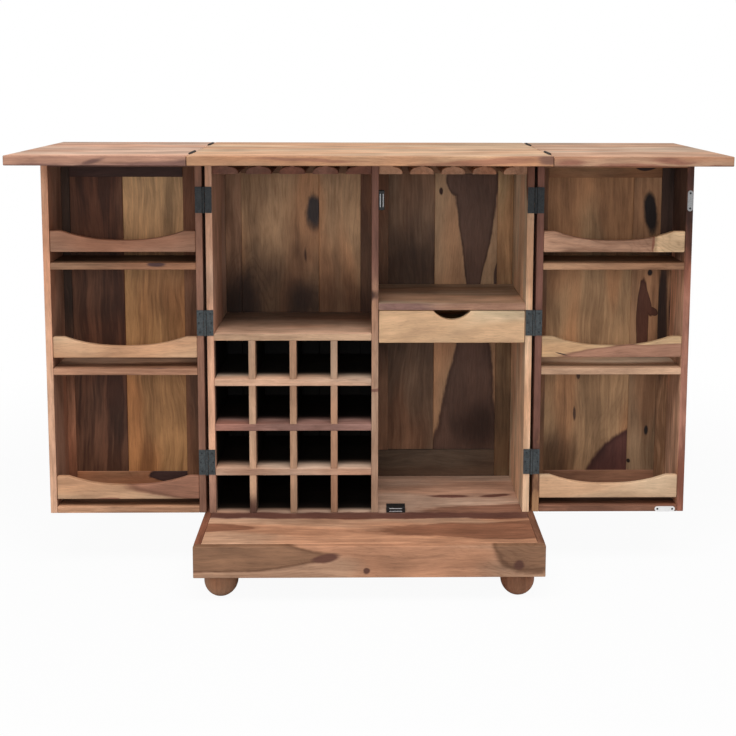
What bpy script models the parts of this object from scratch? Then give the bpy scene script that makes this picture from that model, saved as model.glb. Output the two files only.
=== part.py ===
# Fold-out bar cabinet in solid rosewood, standing open.
# Metres, +Z up, front towards -Y, origin on the floor under the middle of the cabinet.
# Run with: blender --background --python part.py

import math

import bmesh
import bpy
from mathutils import Matrix, Vector

# Boards and fits
board = 0.017
edge_round = 0.0012
fit_gap = 0.0003
join_overlap = 0.0015
cut_overrun = 0.010

# Top
total_height = 1.0724
top_width = 0.840
top_depth = 0.500
top_thickness = 0.023
top_edge_round = 0.0020
flap_width_share = 0.494
flap_joint_gap = 0.0012

# Feet and plinth
foot_height = 0.0656
foot_diameter_share = 1.2652
foot_flat_share = 0.18
foot_inset = 0.0595
foot_segments = 24
foot_rings = 10
plinth_height = 0.0783
plinth_panel_thickness = 0.018
corner_block_size = 0.105
corner_block_cut = 0.040

# Case
case_side_inset = 0.012
case_setback_share = 0.4
case_back_inset = 0.025
divider_offset = 0.013
left_shelf_height_share = 0.5146
right_shelf_height_share = 0.6008
bottle_columns = 4
bottle_rows = 4

# Framed back of the case
back_thickness = 0.022
back_stile = 0.043
back_muntin = 0.076
back_top_rail = 0.058
back_bottom_rail = 0.076
plank_thickness = 0.010
plank_groove = 0.008
plank_chamfer = 0.0013
left_back_plank_shares = (0.645, 0.355)
right_back_plank_shares = (0.43, 0.57)

# Stemware rails under the top
rails_per_side = 5
stem_slot = 0.019
rail_drop = 0.0375
rail_lip = 0.004
rail_slope_height = 0.015
rail_slope_width = 0.009
rail_shoulder_rise = 0.006
rail_neck = 0.012
rail_setback = 0.008

# Drawer and its runners
drawer_front_height = 0.082
drawer_side_gap = 0.0015
drawer_top_gap = 0.002
drawer_length_share = 0.934
drawer_wall = 0.012
drawer_wall_rise = 0.0163
drawer_wall_top_drop = 0.003
drawer_bottom_thickness = 0.006
drawer_bottom_rise = 0.008
drawer_groove = 0.005
finger_cut_width = 0.094
finger_cut_depth = 0.0235
finger_cut_segments = 16
runner_width = 0.014
runner_height = 0.014
runner_front_gap = 0.003
runner_back_gap = 0.002

# Doors
left_door_width_share = 0.4702
right_door_width_share = 0.4631
door_gap = 0.008
door_clearance = 0.0025
door_bottom_gap = 0.0012
door_tray_depth = 0.118
door_leaf_thickness = 0.018
left_door_hinge_stile = 0.0665
left_door_outer_stile = 0.0375
right_door_stile = 0.047
door_top_rail = 0.053
door_bottom_rail = 0.065
door_upper_shelf_share = 0.7156
door_lower_shelf_share = 0.4178
left_door_plank_shares = (0.532, 0.468)
right_door_plank_shares = (0.742, 0.258)

# Curved guard rails of the doors
guard_thickness = 0.014
guard_setback = 0.001
guard_height = 0.0535
bottom_guard_height = 0.060
guard_slot = 0.027
bottom_guard_slot = 0.019
guard_dip = 0.0235
guard_shoulder = 0.026
guard_steps = 24
guard_fullness = 2.4

# Strip that closes the gap between the doors, on the right door
strip_width = 0.057
strip_overhang = 0.040
strip_thickness = 0.010
strip_relief = 0.001
strip_relief_start = 0.005
strip_end_gap = 0.001

# Iron butt hinges of the doors
hinge_height = 0.065
hinge_leaf_thickness = 0.0018
hinge_leaf_width = 0.0205
hinge_closed_gap = 0.001
knuckle_radius = 0.0035
knuckle_count = 5
knuckle_play = 0.0005
pin_radius = 0.0016
hinge_segments = 14
door_hinge_shares = (0.1478, 0.5471, 0.8908)

# Iron butt hinges of the flaps
flap_hinge_length = 0.076
flap_leaf_height = 0.017
flap_leaf_thickness = 0.0015
flap_knuckle_count = 3
flap_hinge_offset_share = 0.31
flap_axis_rise = 0.0004
flap_leaf_proud = 0.0002

# Magnetic catches and their strike plates
catch_length = 0.048
catch_depth = 0.026
catch_thickness = 0.014
catch_round = 0.002
pole_length = 0.032
pole_thickness = 0.0016
pole_spacing = 0.0075
pole_proud = 0.0012
pole_gap = 0.0004
upper_catch_height_share = 0.8897
lower_catch_offset = 0.0455
strike_length = 0.052
strike_width = 0.0135
strike_thickness = 0.0015
strike_segments = 8
lower_strike_height = 0.0071

# Knobs on the outer faces of the doors
knob_height_share = 0.5015
knob_length = 0.026
knob_base_radius = 0.008
knob_neck_radius = 0.0055
knob_head_radius = 0.0145
knob_segments = 20
knob_base_share = 0.12
knob_neck_share = 0.40
knob_bulge_share = 0.72
knob_face_share = 0.62

# Sizes and places worked out from the ones above
foot_diameter = foot_diameter_share * foot_height
foot_flat_radius = foot_flat_share * foot_diameter
top_front = -top_depth / 2
top_back = top_depth / 2
top_underside = total_height - top_thickness
plinth_top = foot_height + plinth_height
case_half = top_width / 2 - case_side_inset
case_front = top_front + case_setback_share * top_depth
case_back = top_back - case_back_inset
case_bottom = plinth_top + fit_gap
case_top = top_underside - fit_gap
case_inner_left = -case_half + board
case_inner_right = case_half - board
divider_left = divider_offset - board / 2
divider_right = divider_offset + board / 2
back_front = case_back - back_thickness
inner_back = back_front - fit_gap
case_height = top_underside - plinth_top
left_shelf_top = plinth_top + left_shelf_height_share * case_height
left_shelf_underside = left_shelf_top - board
right_shelf_top = plinth_top + right_shelf_height_share * case_height
right_shelf_underside = right_shelf_top - board
hinge_axis_x = case_half + door_gap / 2
hinge_axis_y = case_front - hinge_leaf_thickness - hinge_closed_gap / 2
door_bottom = plinth_top + door_bottom_gap
door_top = top_underside - door_clearance
door_height = door_top - door_bottom
left_door_width = left_door_width_share * top_width
right_door_width = right_door_width_share * top_width
door_leaf_front = case_front + door_tray_depth + fit_gap
door_leaf_back = door_leaf_front + door_leaf_thickness
closed_door_plane = 2 * hinge_axis_y - case_front
flap_width = flap_width_share * top_width
flap_hinge_offset = flap_hinge_offset_share * top_depth
flap_axis_x = top_width / 2 + flap_joint_gap / 2
flap_axis_z = total_height + flap_axis_rise
drawer_length = drawer_length_share * (inner_back - case_front)
drawer_front_top = right_shelf_underside - drawer_top_gap
drawer_front_bottom = drawer_front_top - drawer_front_height
drawer_wall_bottom = drawer_front_bottom + drawer_wall_rise
drawer_wall_top = drawer_front_top - drawer_wall_top_drop


def span(a, b):
    return (min(a, b), max(a, b))


def shrink(limits, amount):
    return (limits[0] + amount, limits[1] - amount)


def centred(middle, size):
    return (middle - size / 2, middle + size / 2)


# Materials

def make_material(name, colour, roughness, metallic=0.0):
    material = bpy.data.materials.new(name)
    material.use_nodes = True
    shader = material.node_tree.nodes["Principled BSDF"]
    shader.inputs["Base Color"].default_value = (*colour, 1.0)
    shader.inputs["Roughness"].default_value = roughness
    shader.inputs["Metallic"].default_value = metallic
    material.diffuse_color = (*colour, 1.0)
    return material


def make_materials():
    return {
        "top_wood": make_material("top_wood", (0.62, 0.37, 0.24), 0.45),
        "case_wood": make_material("case_wood", (0.45, 0.23, 0.13), 0.50),
        "dark_wood": make_material("dark_wood", (0.16, 0.085, 0.05), 0.55),
        "drawer_wood": make_material("drawer_wood", (0.62, 0.39, 0.22), 0.50),
        "iron": make_material("iron", (0.05, 0.055, 0.06), 0.45, 0.9),
        "plastic": make_material("plastic", (0.015, 0.015, 0.016), 0.40),
        "steel": make_material("steel", (0.55, 0.55, 0.55), 0.30, 1.0),
    }


# Mesh helpers: each adds one closed shell to a bmesh, in world metres

def add_box(mesh, x_limits, y_limits, z_limits):
    size = Vector((x_limits[1] - x_limits[0], y_limits[1] - y_limits[0], z_limits[1] - z_limits[0]))
    middle = Vector((sum(x_limits), sum(y_limits), sum(z_limits))) / 2
    matrix = Matrix.Translation(middle) @ Matrix.Diagonal((*size, 1.0))
    bmesh.ops.create_cube(mesh, size=1.0, matrix=matrix)


def add_prism(mesh, outline, place_point, length_limits):
    near = [mesh.verts.new(place_point(u, v, length_limits[0])) for u, v in outline]
    far = [mesh.verts.new(place_point(u, v, length_limits[1])) for u, v in outline]
    faces = [mesh.faces.new(near), mesh.faces.new(list(reversed(far)))]
    for index in range(len(outline)):
        following = (index + 1) % len(outline)
        faces.append(mesh.faces.new((near[following], near[index], far[index], far[following])))
    bmesh.ops.recalc_face_normals(mesh, faces=faces)


def add_turned(mesh, profile, place_point, segments):
    # The profile runs from the axis to the axis as (radius, height) points
    rings = []
    for radius, height in profile:
        if radius == 0:
            rings.append([mesh.verts.new(place_point(0, 0, height))])
            continue
        ring = []
        for index in range(segments):
            angle = 2 * math.pi * index / segments
            ring.append(mesh.verts.new(place_point(radius * math.cos(angle), radius * math.sin(angle), height)))
        rings.append(ring)
    faces = []
    for lower, upper in zip(rings, rings[1:]):
        for index in range(segments):
            following = (index + 1) % segments
            if len(lower) == 1:
                corners = (lower[0], upper[following], upper[index])
            elif len(upper) == 1:
                corners = (lower[index], lower[following], upper[0])
            else:
                corners = (lower[index], lower[following], upper[following], upper[index])
            faces.append(mesh.faces.new(corners))
    bmesh.ops.recalc_face_normals(mesh, faces=faces)


def along_x(u, v, w):
    return (w, u, v)


def along_y(u, v, w):
    return (u, w, v)


def along_z(u, v, w):
    return (u, v, w)


# Object helpers

def make_object(name, mesh, material, parent=None, rounding=0.0, smooth=False, segments=2):
    lows = [min(vertex.co[axis] for vertex in mesh.verts) for axis in range(3)]
    highs = [max(vertex.co[axis] for vertex in mesh.verts) for axis in range(3)]
    middle = (Vector(lows) + Vector(highs)) / 2
    bmesh.ops.translate(mesh, verts=mesh.verts, vec=-middle)
    data = bpy.data.meshes.new(name)
    mesh.to_mesh(data)
    mesh.free()
    piece = bpy.data.objects.new(name, data)
    bpy.context.scene.collection.objects.link(piece)
    piece.location = middle
    data.materials.append(material)
    if parent is not None:
        piece.parent = parent
        piece.matrix_parent_inverse = Matrix.Translation(-parent.location)
    if smooth:
        data.shade_smooth()
        data.set_sharp_from_angle(angle=math.radians(35))
    if rounding > 0:
        bevel = piece.modifiers.new("rounded_edges", "BEVEL")
        bevel.width = rounding
        bevel.segments = segments
        bevel.limit_method = "ANGLE"
        bevel.harden_normals = False
    return piece


def make_board(name, x_limits, y_limits, z_limits, material, parent=None, rounding=edge_round):
    mesh = bmesh.new()
    add_box(mesh, x_limits, y_limits, z_limits)
    return make_object(name, mesh, material, parent, rounding)


def make_hidden(name, mesh, material=None, parent=None, rounding=0.0):
    # Cutters and parts that are fused into another piece don't show on their own
    piece = make_object(name, mesh, material or cutter_material(), parent, rounding)
    piece.hide_render = True
    piece.display_type = "WIRE"
    return piece


def make_cutter(name, boxes, parent=None):
    mesh = bmesh.new()
    for x_limits, y_limits, z_limits in boxes:
        add_box(mesh, x_limits, y_limits, z_limits)
    return make_hidden(name, mesh, parent=parent)


def cutter_material():
    existing = bpy.data.materials.get("cutter")
    return existing if existing else make_material("cutter", (1.0, 0.0, 0.0), 1.0)


def combine(piece, other, operation):
    boolean = piece.modifiers.new(operation.lower() + "_" + other.name, "BOOLEAN")
    boolean.operation = operation
    boolean.solver = "EXACT"
    boolean.material_mode = "TRANSFER"
    boolean.object = other


def cut(piece, cutter):
    combine(piece, cutter, "DIFFERENCE")


def fuse(piece, addition):
    combine(piece, addition, "UNION")


def make_axis(name, location):
    axis = bpy.data.objects.new(name, None)
    bpy.context.scene.collection.objects.link(axis)
    axis.location = location
    return axis


# Feet and plinth

def foot_profile():
    radius = foot_diameter / 2
    centre = math.sqrt(radius ** 2 - foot_flat_radius ** 2)
    top = foot_height - fit_gap
    low_angle = -math.asin(centre / radius)
    high_angle = math.asin((top - centre) / radius)
    profile = [(0, 0)]
    for index in range(foot_rings + 1):
        angle = low_angle + (high_angle - low_angle) * index / foot_rings
        profile.append((radius * math.cos(angle), centre + radius * math.sin(angle)))
    profile.append((0, profile[-1][1]))
    return profile


def make_feet(materials):
    for side, side_name in ((-1, "left"), (1, "right")):
        for end, end_name in ((-1, "front"), (1, "back")):
            x = side * (top_width / 2 - foot_inset)
            y = end * (top_depth / 2 - foot_inset)
            mesh = bmesh.new()
            add_turned(mesh, foot_profile(), lambda u, v, w, x=x, y=y: (x + u, y + v, w), foot_segments)
            make_object(end_name + "_" + side_name + "_foot", mesh, materials["case_wood"], smooth=True)


def corner_block_outline(side, end):
    outer_x = top_width / 2 - board - 2 * fit_gap
    outer_y = top_depth / 2 - board - 2 * fit_gap
    inner_x = outer_x - corner_block_size
    inner_y = outer_y - corner_block_size
    points = [
        (outer_x, outer_y),
        (outer_x, inner_y),
        (inner_x + corner_block_cut, inner_y),
        (inner_x, inner_y + corner_block_cut),
        (inner_x, outer_y),
    ]
    return [(side * x, end * y) for x, y in points]


def make_plinth(materials):
    half_width = top_width / 2
    z_limits = (foot_height, plinth_top)
    apron_inner_x = half_width - board
    apron_inner_front = top_front + board
    apron_inner_back = top_back - board
    wood = materials["case_wood"]
    make_board("plinth_front", (-half_width, half_width), (top_front, apron_inner_front), z_limits, wood,
               rounding=top_edge_round)
    make_board("plinth_back", (-half_width, half_width), (apron_inner_back, top_back), z_limits, wood,
               rounding=top_edge_round)
    for side, side_name in ((-1, "left"), (1, "right")):
        make_board("plinth_" + side_name, span(side * apron_inner_x, side * half_width),
                   shrink((apron_inner_front, apron_inner_back), fit_gap), z_limits, wood)
    panel_bottom = plinth_top - plinth_panel_thickness
    panel = make_board("plinth_top", shrink((-apron_inner_x, apron_inner_x), fit_gap),
                       shrink((apron_inner_front, apron_inner_back), fit_gap), (panel_bottom, plinth_top), wood)
    blocks = bmesh.new()
    for side in (-1, 1):
        for end in (-1, 1):
            add_prism(blocks, corner_block_outline(side, end), along_z, (foot_height, panel_bottom + join_overlap))
    fuse(panel, make_hidden("plinth_corner_blocks", blocks, wood))


# Case

def make_case_boards(materials):
    wood = materials["case_wood"]
    z_limits = (case_bottom, case_top)
    side_y = (case_front, case_back)
    left = make_board("left_side", (-case_half, case_inner_left), side_y, z_limits, wood)
    right = make_board("right_side", (case_inner_right, case_half), side_y, z_limits, wood)
    divider = make_board("divider", (divider_left, divider_right), (case_front, inner_back), z_limits, wood)
    make_board("left_shelf", shrink((case_inner_left, divider_left), fit_gap), (case_front, inner_back),
               (left_shelf_underside, left_shelf_top), wood)
    make_board("right_shelf", shrink((divider_right, case_inner_right), fit_gap), (case_front, inner_back),
               (right_shelf_underside, right_shelf_top), wood)
    return left, right, divider


# The egg crate for bottles: shelves slotted from behind, uprights slotted from the front

def grid_places(start, end, cells):
    opening = (end - start - (cells - 1) * board) / cells
    return [start + (index + 1) * opening + index * board for index in range(cells - 1)]


def make_bottle_grid(materials):
    wood = materials["case_wood"]
    x_limits = (case_inner_left, divider_left)
    z_limits = (plinth_top, left_shelf_underside)
    middle = (case_front + inner_back) / 2
    upright_places = grid_places(*x_limits, bottle_columns)
    shelf_places = grid_places(*z_limits, bottle_rows)
    back_slots = [
        (shrink((x, x + board), -fit_gap), (middle - fit_gap / 2, inner_back + cut_overrun),
         shrink(z_limits, -cut_overrun))
        for x in upright_places
    ]
    front_slots = [
        (shrink(x_limits, -cut_overrun), (case_front - cut_overrun, middle + fit_gap / 2),
         shrink((z, z + board), -fit_gap))
        for z in shelf_places
    ]
    shelf_cutter = make_cutter("bottle_shelf_slots", back_slots)
    upright_cutter = make_cutter("bottle_upright_slots", front_slots)
    for number, z in enumerate(shelf_places, start=1):
        shelf = make_board("bottle_shelf_%d" % number, shrink(x_limits, fit_gap), (case_front, inner_back),
                           (z, z + board), wood)
        cut(shelf, shelf_cutter)
    for number, x in enumerate(upright_places, start=1):
        upright = make_board("bottle_upright_%d" % number, (x, x + board), (case_front, inner_back),
                             shrink(z_limits, fit_gap), wood)
        cut(upright, upright_cutter)


# Frame with panels of glued planks, used for the back of the case and for the door leaves

def make_framed_panel(name, panel_names, x_limits, y_limits, z_limits, windows, plank_shares, materials,
                      parent=None):
    frame = make_board(name, x_limits, y_limits, z_limits, materials["case_wood"], parent)
    groove_y = centred(sum(y_limits) / 2, plank_thickness + 2 * fit_gap)
    through = shrink(y_limits, -cut_overrun)
    openings = [(window_x, through, window_z) for window_x, window_z in windows]
    grooves = [(shrink(window_x, -plank_groove), groove_y, shrink(window_z, -plank_groove))
               for window_x, window_z in windows]
    cut(frame, make_cutter(name + "_windows", openings, parent))
    cut(frame, make_cutter(name + "_grooves", grooves, parent))
    for panel_name, (window_x, window_z), shares in zip(panel_names, windows, plank_shares):
        make_panel(panel_name, shrink(window_x, -plank_groove + fit_gap),
                   shrink(groove_y, fit_gap), shrink(window_z, -plank_groove + fit_gap), shares,
                   materials["dark_wood"], parent)


def panel_outline(x_limits, y_limits, shares):
    # Seen from above, with a V groove on both faces where two planks meet
    joints = []
    place = x_limits[0]
    for share in shares[:-1]:
        place += (x_limits[1] - x_limits[0]) * share
        joints.append(place)
    front = [(x_limits[0], y_limits[0])]
    back = [(x_limits[0], y_limits[1])]
    for joint in joints:
        for shift, depth in ((-plank_chamfer, 0), (0, plank_chamfer), (plank_chamfer, 0)):
            front.append((joint + shift, y_limits[0] + depth))
            back.append((joint + shift, y_limits[1] - depth))
    front.append((x_limits[1], y_limits[0]))
    back.append((x_limits[1], y_limits[1]))
    return front + list(reversed(back))


def make_panel(name, x_limits, y_limits, z_limits, shares, material, parent):
    mesh = bmesh.new()
    add_prism(mesh, panel_outline(x_limits, y_limits, shares), along_z, z_limits)
    make_object(name, mesh, material, parent)


def make_case_back(materials):
    x_limits = shrink((case_inner_left, case_inner_right), fit_gap)
    window_z = (plinth_top + back_bottom_rail, top_underside - back_top_rail)
    left_window = (case_inner_left + back_stile, divider_offset - back_muntin / 2)
    right_window = (divider_offset + back_muntin / 2, case_inner_right - back_stile)
    make_framed_panel("back_frame", ("left_back_panel", "right_back_panel"), x_limits,
                      (back_front, case_back), (case_bottom, case_top),
                      [(left_window, window_z), (right_window, window_z)],
                      (left_back_plank_shares, right_back_plank_shares), materials)


# Stemware rails: a wide lip with sloping shoulders that hangs from a narrow neck

def stem_rail_outline(width, flat_left, flat_right):
    half = width / 2
    top = rail_drop + join_overlap
    slope_top = rail_lip + rail_slope_height
    shoulder_top = slope_top + rail_shoulder_rise
    sloped = [(half, 0), (half, rail_lip), (half - rail_slope_width, slope_top), (rail_neck / 2, shoulder_top),
              (rail_neck / 2, top)]
    flat = [(half, 0), (half, top)]
    right = flat if flat_right else sloped
    left = flat if flat_left else sloped
    return right + [(-u, v) for u, v in reversed(left)]


def add_stem_rails(mesh, x_limits):
    start = x_limits[0] + fit_gap
    width = (x_limits[1] - fit_gap - start - (rails_per_side - 1) * stem_slot) / rails_per_side
    bottom = top_underside - rail_drop
    for index in range(rails_per_side):
        middle = start + width / 2 + index * (width + stem_slot)
        outline = stem_rail_outline(width, index == 0, index == rails_per_side - 1)
        placed = [(middle + u, bottom + v) for u, v in outline]
        add_prism(mesh, placed, along_y, (case_front + rail_setback, inner_back))


# Top and flaps

def flap_hinge_places():
    return [centred(-flap_hinge_offset, flap_hinge_length), centred(flap_hinge_offset, flap_hinge_length)]


def flap_plate_limits(side, on_flap, y_limits):
    # Each leaf is let into its board's edge and stands a hair proud of it
    direction = side if on_flap else -side
    edge = side * flap_axis_x + direction * flap_joint_gap / 2
    outer = edge - direction * flap_leaf_proud
    z_limits = (total_height - flap_leaf_height, total_height - top_edge_round)
    return span(outer, outer + direction * flap_leaf_thickness), y_limits, z_limits


def fit_flap_hinges(piece, sides, on_flap, materials, parent=None):
    plates = bmesh.new()
    clearances = bmesh.new()
    barrels = bmesh.new()
    bores = bmesh.new()
    for side in sides:

        def place_point(u, v, w, side=side):
            return (side * flap_axis_x + u, w, flap_axis_z + v)
        for y_limits in flap_hinge_places():
            add_box(plates, *flap_plate_limits(side, on_flap, y_limits))
            own, others = split_knuckles(y_limits, flap_knuckle_count, not on_flap)
            for limits in others:
                add_cylinder(clearances, place_point, knuckle_radius + knuckle_play,
                             widen_outer_ends(limits, y_limits, knuckle_play))
            add_barrels(barrels, place_point, own, y_limits, not on_flap)
            add_cylinder(bores, place_point, pin_radius + fit_gap, y_limits)
    fuse(piece, make_hidden(piece.name + "_leaf_plates", plates, materials["iron"], parent))
    cut(piece, make_hidden(piece.name + "_knuckle_clearances", clearances, parent=parent))
    fuse(piece, make_hidden(piece.name + "_knuckles", barrels, materials["iron"], parent))
    if on_flap:
        cut(piece, make_hidden(piece.name + "_pin_bores", bores, materials["iron"], parent))
    else:
        bores.free()


def make_top(materials):
    wood = materials["top_wood"]
    z_limits = (top_underside, total_height)
    y_limits = (top_front, top_back)
    board_piece = make_board("top_board", (-top_width / 2, top_width / 2), y_limits, z_limits, wood,
                             rounding=top_edge_round)
    rails = bmesh.new()
    add_stem_rails(rails, (case_inner_left, divider_left))
    add_stem_rails(rails, (divider_right, case_inner_right))
    fuse(board_piece, make_hidden("stemware_rails", rails, materials["case_wood"], rounding=edge_round))
    fit_flap_hinges(board_piece, (-1, 1), False, materials)


def make_flap(side, side_name, materials):
    axis = make_axis(side_name + "_flap_axis", (side * flap_axis_x, 0, flap_axis_z))
    start = side * (flap_axis_x + flap_joint_gap / 2)
    flap = make_board(side_name + "_flap", span(start, start + side * flap_width), (top_front, top_back),
                      (top_underside, total_height), materials["top_wood"], axis, rounding=top_edge_round)
    fit_flap_hinges(flap, (side,), True, materials, axis)


# Butt hinges: the fixed leaf carries the pin, the moving leaf has bored knuckles between

def knuckle_limits(length_limits, count):
    step = (length_limits[1] - length_limits[0]) / count
    return [(length_limits[0] + index * step, length_limits[0] + (index + 1) * step) for index in range(count)]


def split_knuckles(length_limits, count, fixed):
    # A leaf's own knuckles, with play at their inner ends, and the room of the other leaf's
    knuckles = knuckle_limits(length_limits, count)
    own = [shrink(limits, knuckle_play / 2) for limits in knuckles[(0 if fixed else 1)::2]]
    if fixed:
        own[0] = (length_limits[0], own[0][1])
        own[-1] = (own[-1][0], length_limits[1])
    return own, knuckles[(1 if fixed else 0)::2]


def widen_outer_ends(limits, length_limits, amount):
    low = limits[0] - amount if limits[0] <= length_limits[0] else limits[0]
    high = limits[1] + amount if limits[1] >= length_limits[1] else limits[1]
    return (low, high)


def add_cylinder(mesh, place_point, radius, limits):
    add_turned(mesh, [(0, limits[0]), (radius, limits[0]), (radius, limits[1]), (0, limits[1])], place_point,
               hinge_segments)


def pin_profile(knuckles, length_limits):
    # One turned piece: the knuckles of the fixed leaf on the pin that joins them
    profile = [(0, knuckles[0][0])]
    for limits in knuckles:
        if limits[0] > length_limits[0]:
            profile.append((pin_radius, limits[0]))
        profile.append((knuckle_radius, limits[0]))
        profile.append((knuckle_radius, limits[1]))
        if limits[1] < length_limits[1]:
            profile.append((pin_radius, limits[1]))
    profile.append((0, knuckles[-1][1]))
    return profile


def add_barrels(mesh, place_point, own, length_limits, fixed):
    if fixed:
        add_turned(mesh, pin_profile(own, length_limits), place_point, hinge_segments)
        return
    for limits in own:
        add_cylinder(mesh, place_point, knuckle_radius, limits)


def plate_outline(length_limits, others):
    # In the hinge's own frame: across the plate from the pin, and along the pin
    near = (knuckle_radius + pin_radius) / 2
    clear = knuckle_radius + knuckle_play
    low, high = length_limits
    points = [(hinge_leaf_width, low), (hinge_leaf_width, high)]
    for limits in reversed(others):
        top = limits[1] + knuckle_play / 2
        bottom = limits[0] - knuckle_play / 2
        points += [(clear, high)] if limits[1] >= high else [(near, top), (clear, top)]
        points += [(clear, low)] if limits[0] <= low else [(clear, bottom), (near, bottom)]
    if others[-1][1] < high:
        points.insert(2, (near, high))
    if others[0][0] > low:
        points.append((near, low))
    return points


def fit_door_hinges(piece, side, on_door, materials, parent=None):
    direction = side if on_door else -side

    def place_point(u, v, w):
        return (side * hinge_axis_x + direction * u, hinge_axis_y + v, w)

    plates = bmesh.new()
    barrels = bmesh.new()
    bores = bmesh.new()
    thickness = (hinge_closed_gap / 2, hinge_closed_gap / 2 + hinge_leaf_thickness + join_overlap)
    for share in door_hinge_shares:
        length_limits = centred(door_bottom + share * door_height, hinge_height)
        own, others = split_knuckles(length_limits, knuckle_count, not on_door)
        add_prism(plates, plate_outline(length_limits, others), lambda u, w, v: place_point(u, v, w), thickness)
        add_barrels(barrels, place_point, own, length_limits, not on_door)
        add_cylinder(bores, place_point, pin_radius + fit_gap, length_limits)
    fuse(piece, make_hidden(piece.name + "_leaf_plates", plates, materials["iron"], parent))
    fuse(piece, make_hidden(piece.name + "_knuckles", barrels, materials["iron"], parent))
    if on_door:
        cut(piece, make_hidden(piece.name + "_pin_bores", bores, materials["iron"], parent))
    else:
        bores.free()


# Drawer

def finger_cut_outline(middle, top):
    radius = (finger_cut_width ** 2 / 4 + finger_cut_depth ** 2) / (2 * finger_cut_depth)
    centre_height = top + radius - finger_cut_depth
    reach = math.asin(finger_cut_width / 2 / radius)
    points = []
    for index in range(finger_cut_segments + 1):
        angle = -reach + 2 * reach * index / finger_cut_segments
        points.append((middle + radius * math.sin(angle), centre_height - radius * math.cos(angle)))
    points.append((points[-1][0], top + cut_overrun))
    points.append((points[0][0], top + cut_overrun))
    return points


def make_drawer(materials, divider, right_side):
    wood = materials["drawer_wood"]
    axis = make_axis("drawer_axis", ((divider_right + case_inner_right) / 2, case_front, drawer_front_bottom))
    opening = (divider_right, case_inner_right)
    front_x = shrink(opening, drawer_side_gap)
    wall_x = shrink(opening, drawer_side_gap + fit_gap)
    front_back = case_front + board
    drawer_end = case_front + drawer_length
    front = make_board("drawer_front", front_x, (case_front, front_back),
                       (drawer_front_bottom, drawer_front_top), wood, axis)
    finger = bmesh.new()
    add_prism(finger, finger_cut_outline(sum(front_x) / 2, drawer_front_top), along_y,
              (case_front - cut_overrun, front_back + cut_overrun))
    cut(front, make_hidden("drawer_finger_cut", finger, parent=axis))
    panel_z = (drawer_wall_bottom + drawer_bottom_rise,
               drawer_wall_bottom + drawer_bottom_rise + drawer_bottom_thickness)
    inner_x = shrink(wall_x, drawer_wall)
    groove = make_cutter("drawer_groove", [(shrink(inner_x, -drawer_groove),
                                            (front_back - drawer_groove, drawer_end + cut_overrun),
                                            shrink(panel_z, -fit_gap))], axis)
    cut(front, groove)
    for name, x_limits in (("drawer_left_side", (wall_x[0], inner_x[0])),
                           ("drawer_right_side", (inner_x[1], wall_x[1]))):
        wall = make_board(name, x_limits, (front_back + fit_gap, drawer_end),
                          (drawer_wall_bottom, drawer_wall_top), wood, axis)
        cut(wall, groove)
    make_board("drawer_back", shrink(inner_x, fit_gap), (drawer_end - drawer_wall, drawer_end),
               (panel_z[1] + fit_gap, drawer_wall_top), wood, axis)
    make_board("drawer_bottom", shrink(inner_x, -drawer_groove + fit_gap),
               (front_back - drawer_groove + fit_gap, drawer_end), panel_z, wood, axis, rounding=0.0)
    runner_top = drawer_wall_bottom - fit_gap
    for carrier, start, direction in ((divider, divider_right, 1), (right_side, case_inner_right, -1)):
        runner = bmesh.new()
        add_box(runner, span(start - direction * join_overlap, start + direction * runner_width),
                (front_back + runner_front_gap, inner_back - runner_back_gap),
                (runner_top - runner_height, runner_top))
        fuse(carrier, make_hidden(carrier.name + "_runner", runner, materials["case_wood"], rounding=edge_round))


# Doors

def guard_outline(x_limits, bottom, height):
    # The top edge hangs between two short shoulders like a full bow
    half = (x_limits[1] - x_limits[0]) / 2 - guard_shoulder
    middle = sum(x_limits) / 2
    points = [(x_limits[1], bottom), (x_limits[1], bottom + height)]
    for index in range(guard_steps + 1):
        position = 1 - 2 * index / guard_steps
        drop = guard_dip * (1 - abs(position) ** guard_fullness)
        points.append((middle + half * position, bottom + height - drop))
    points += [(x_limits[0], bottom + height), (x_limits[0], bottom)]
    return points


def door_stiles(side):
    if side < 0:
        return left_door_hinge_stile, left_door_outer_stile
    return right_door_stile, right_door_stile


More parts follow.
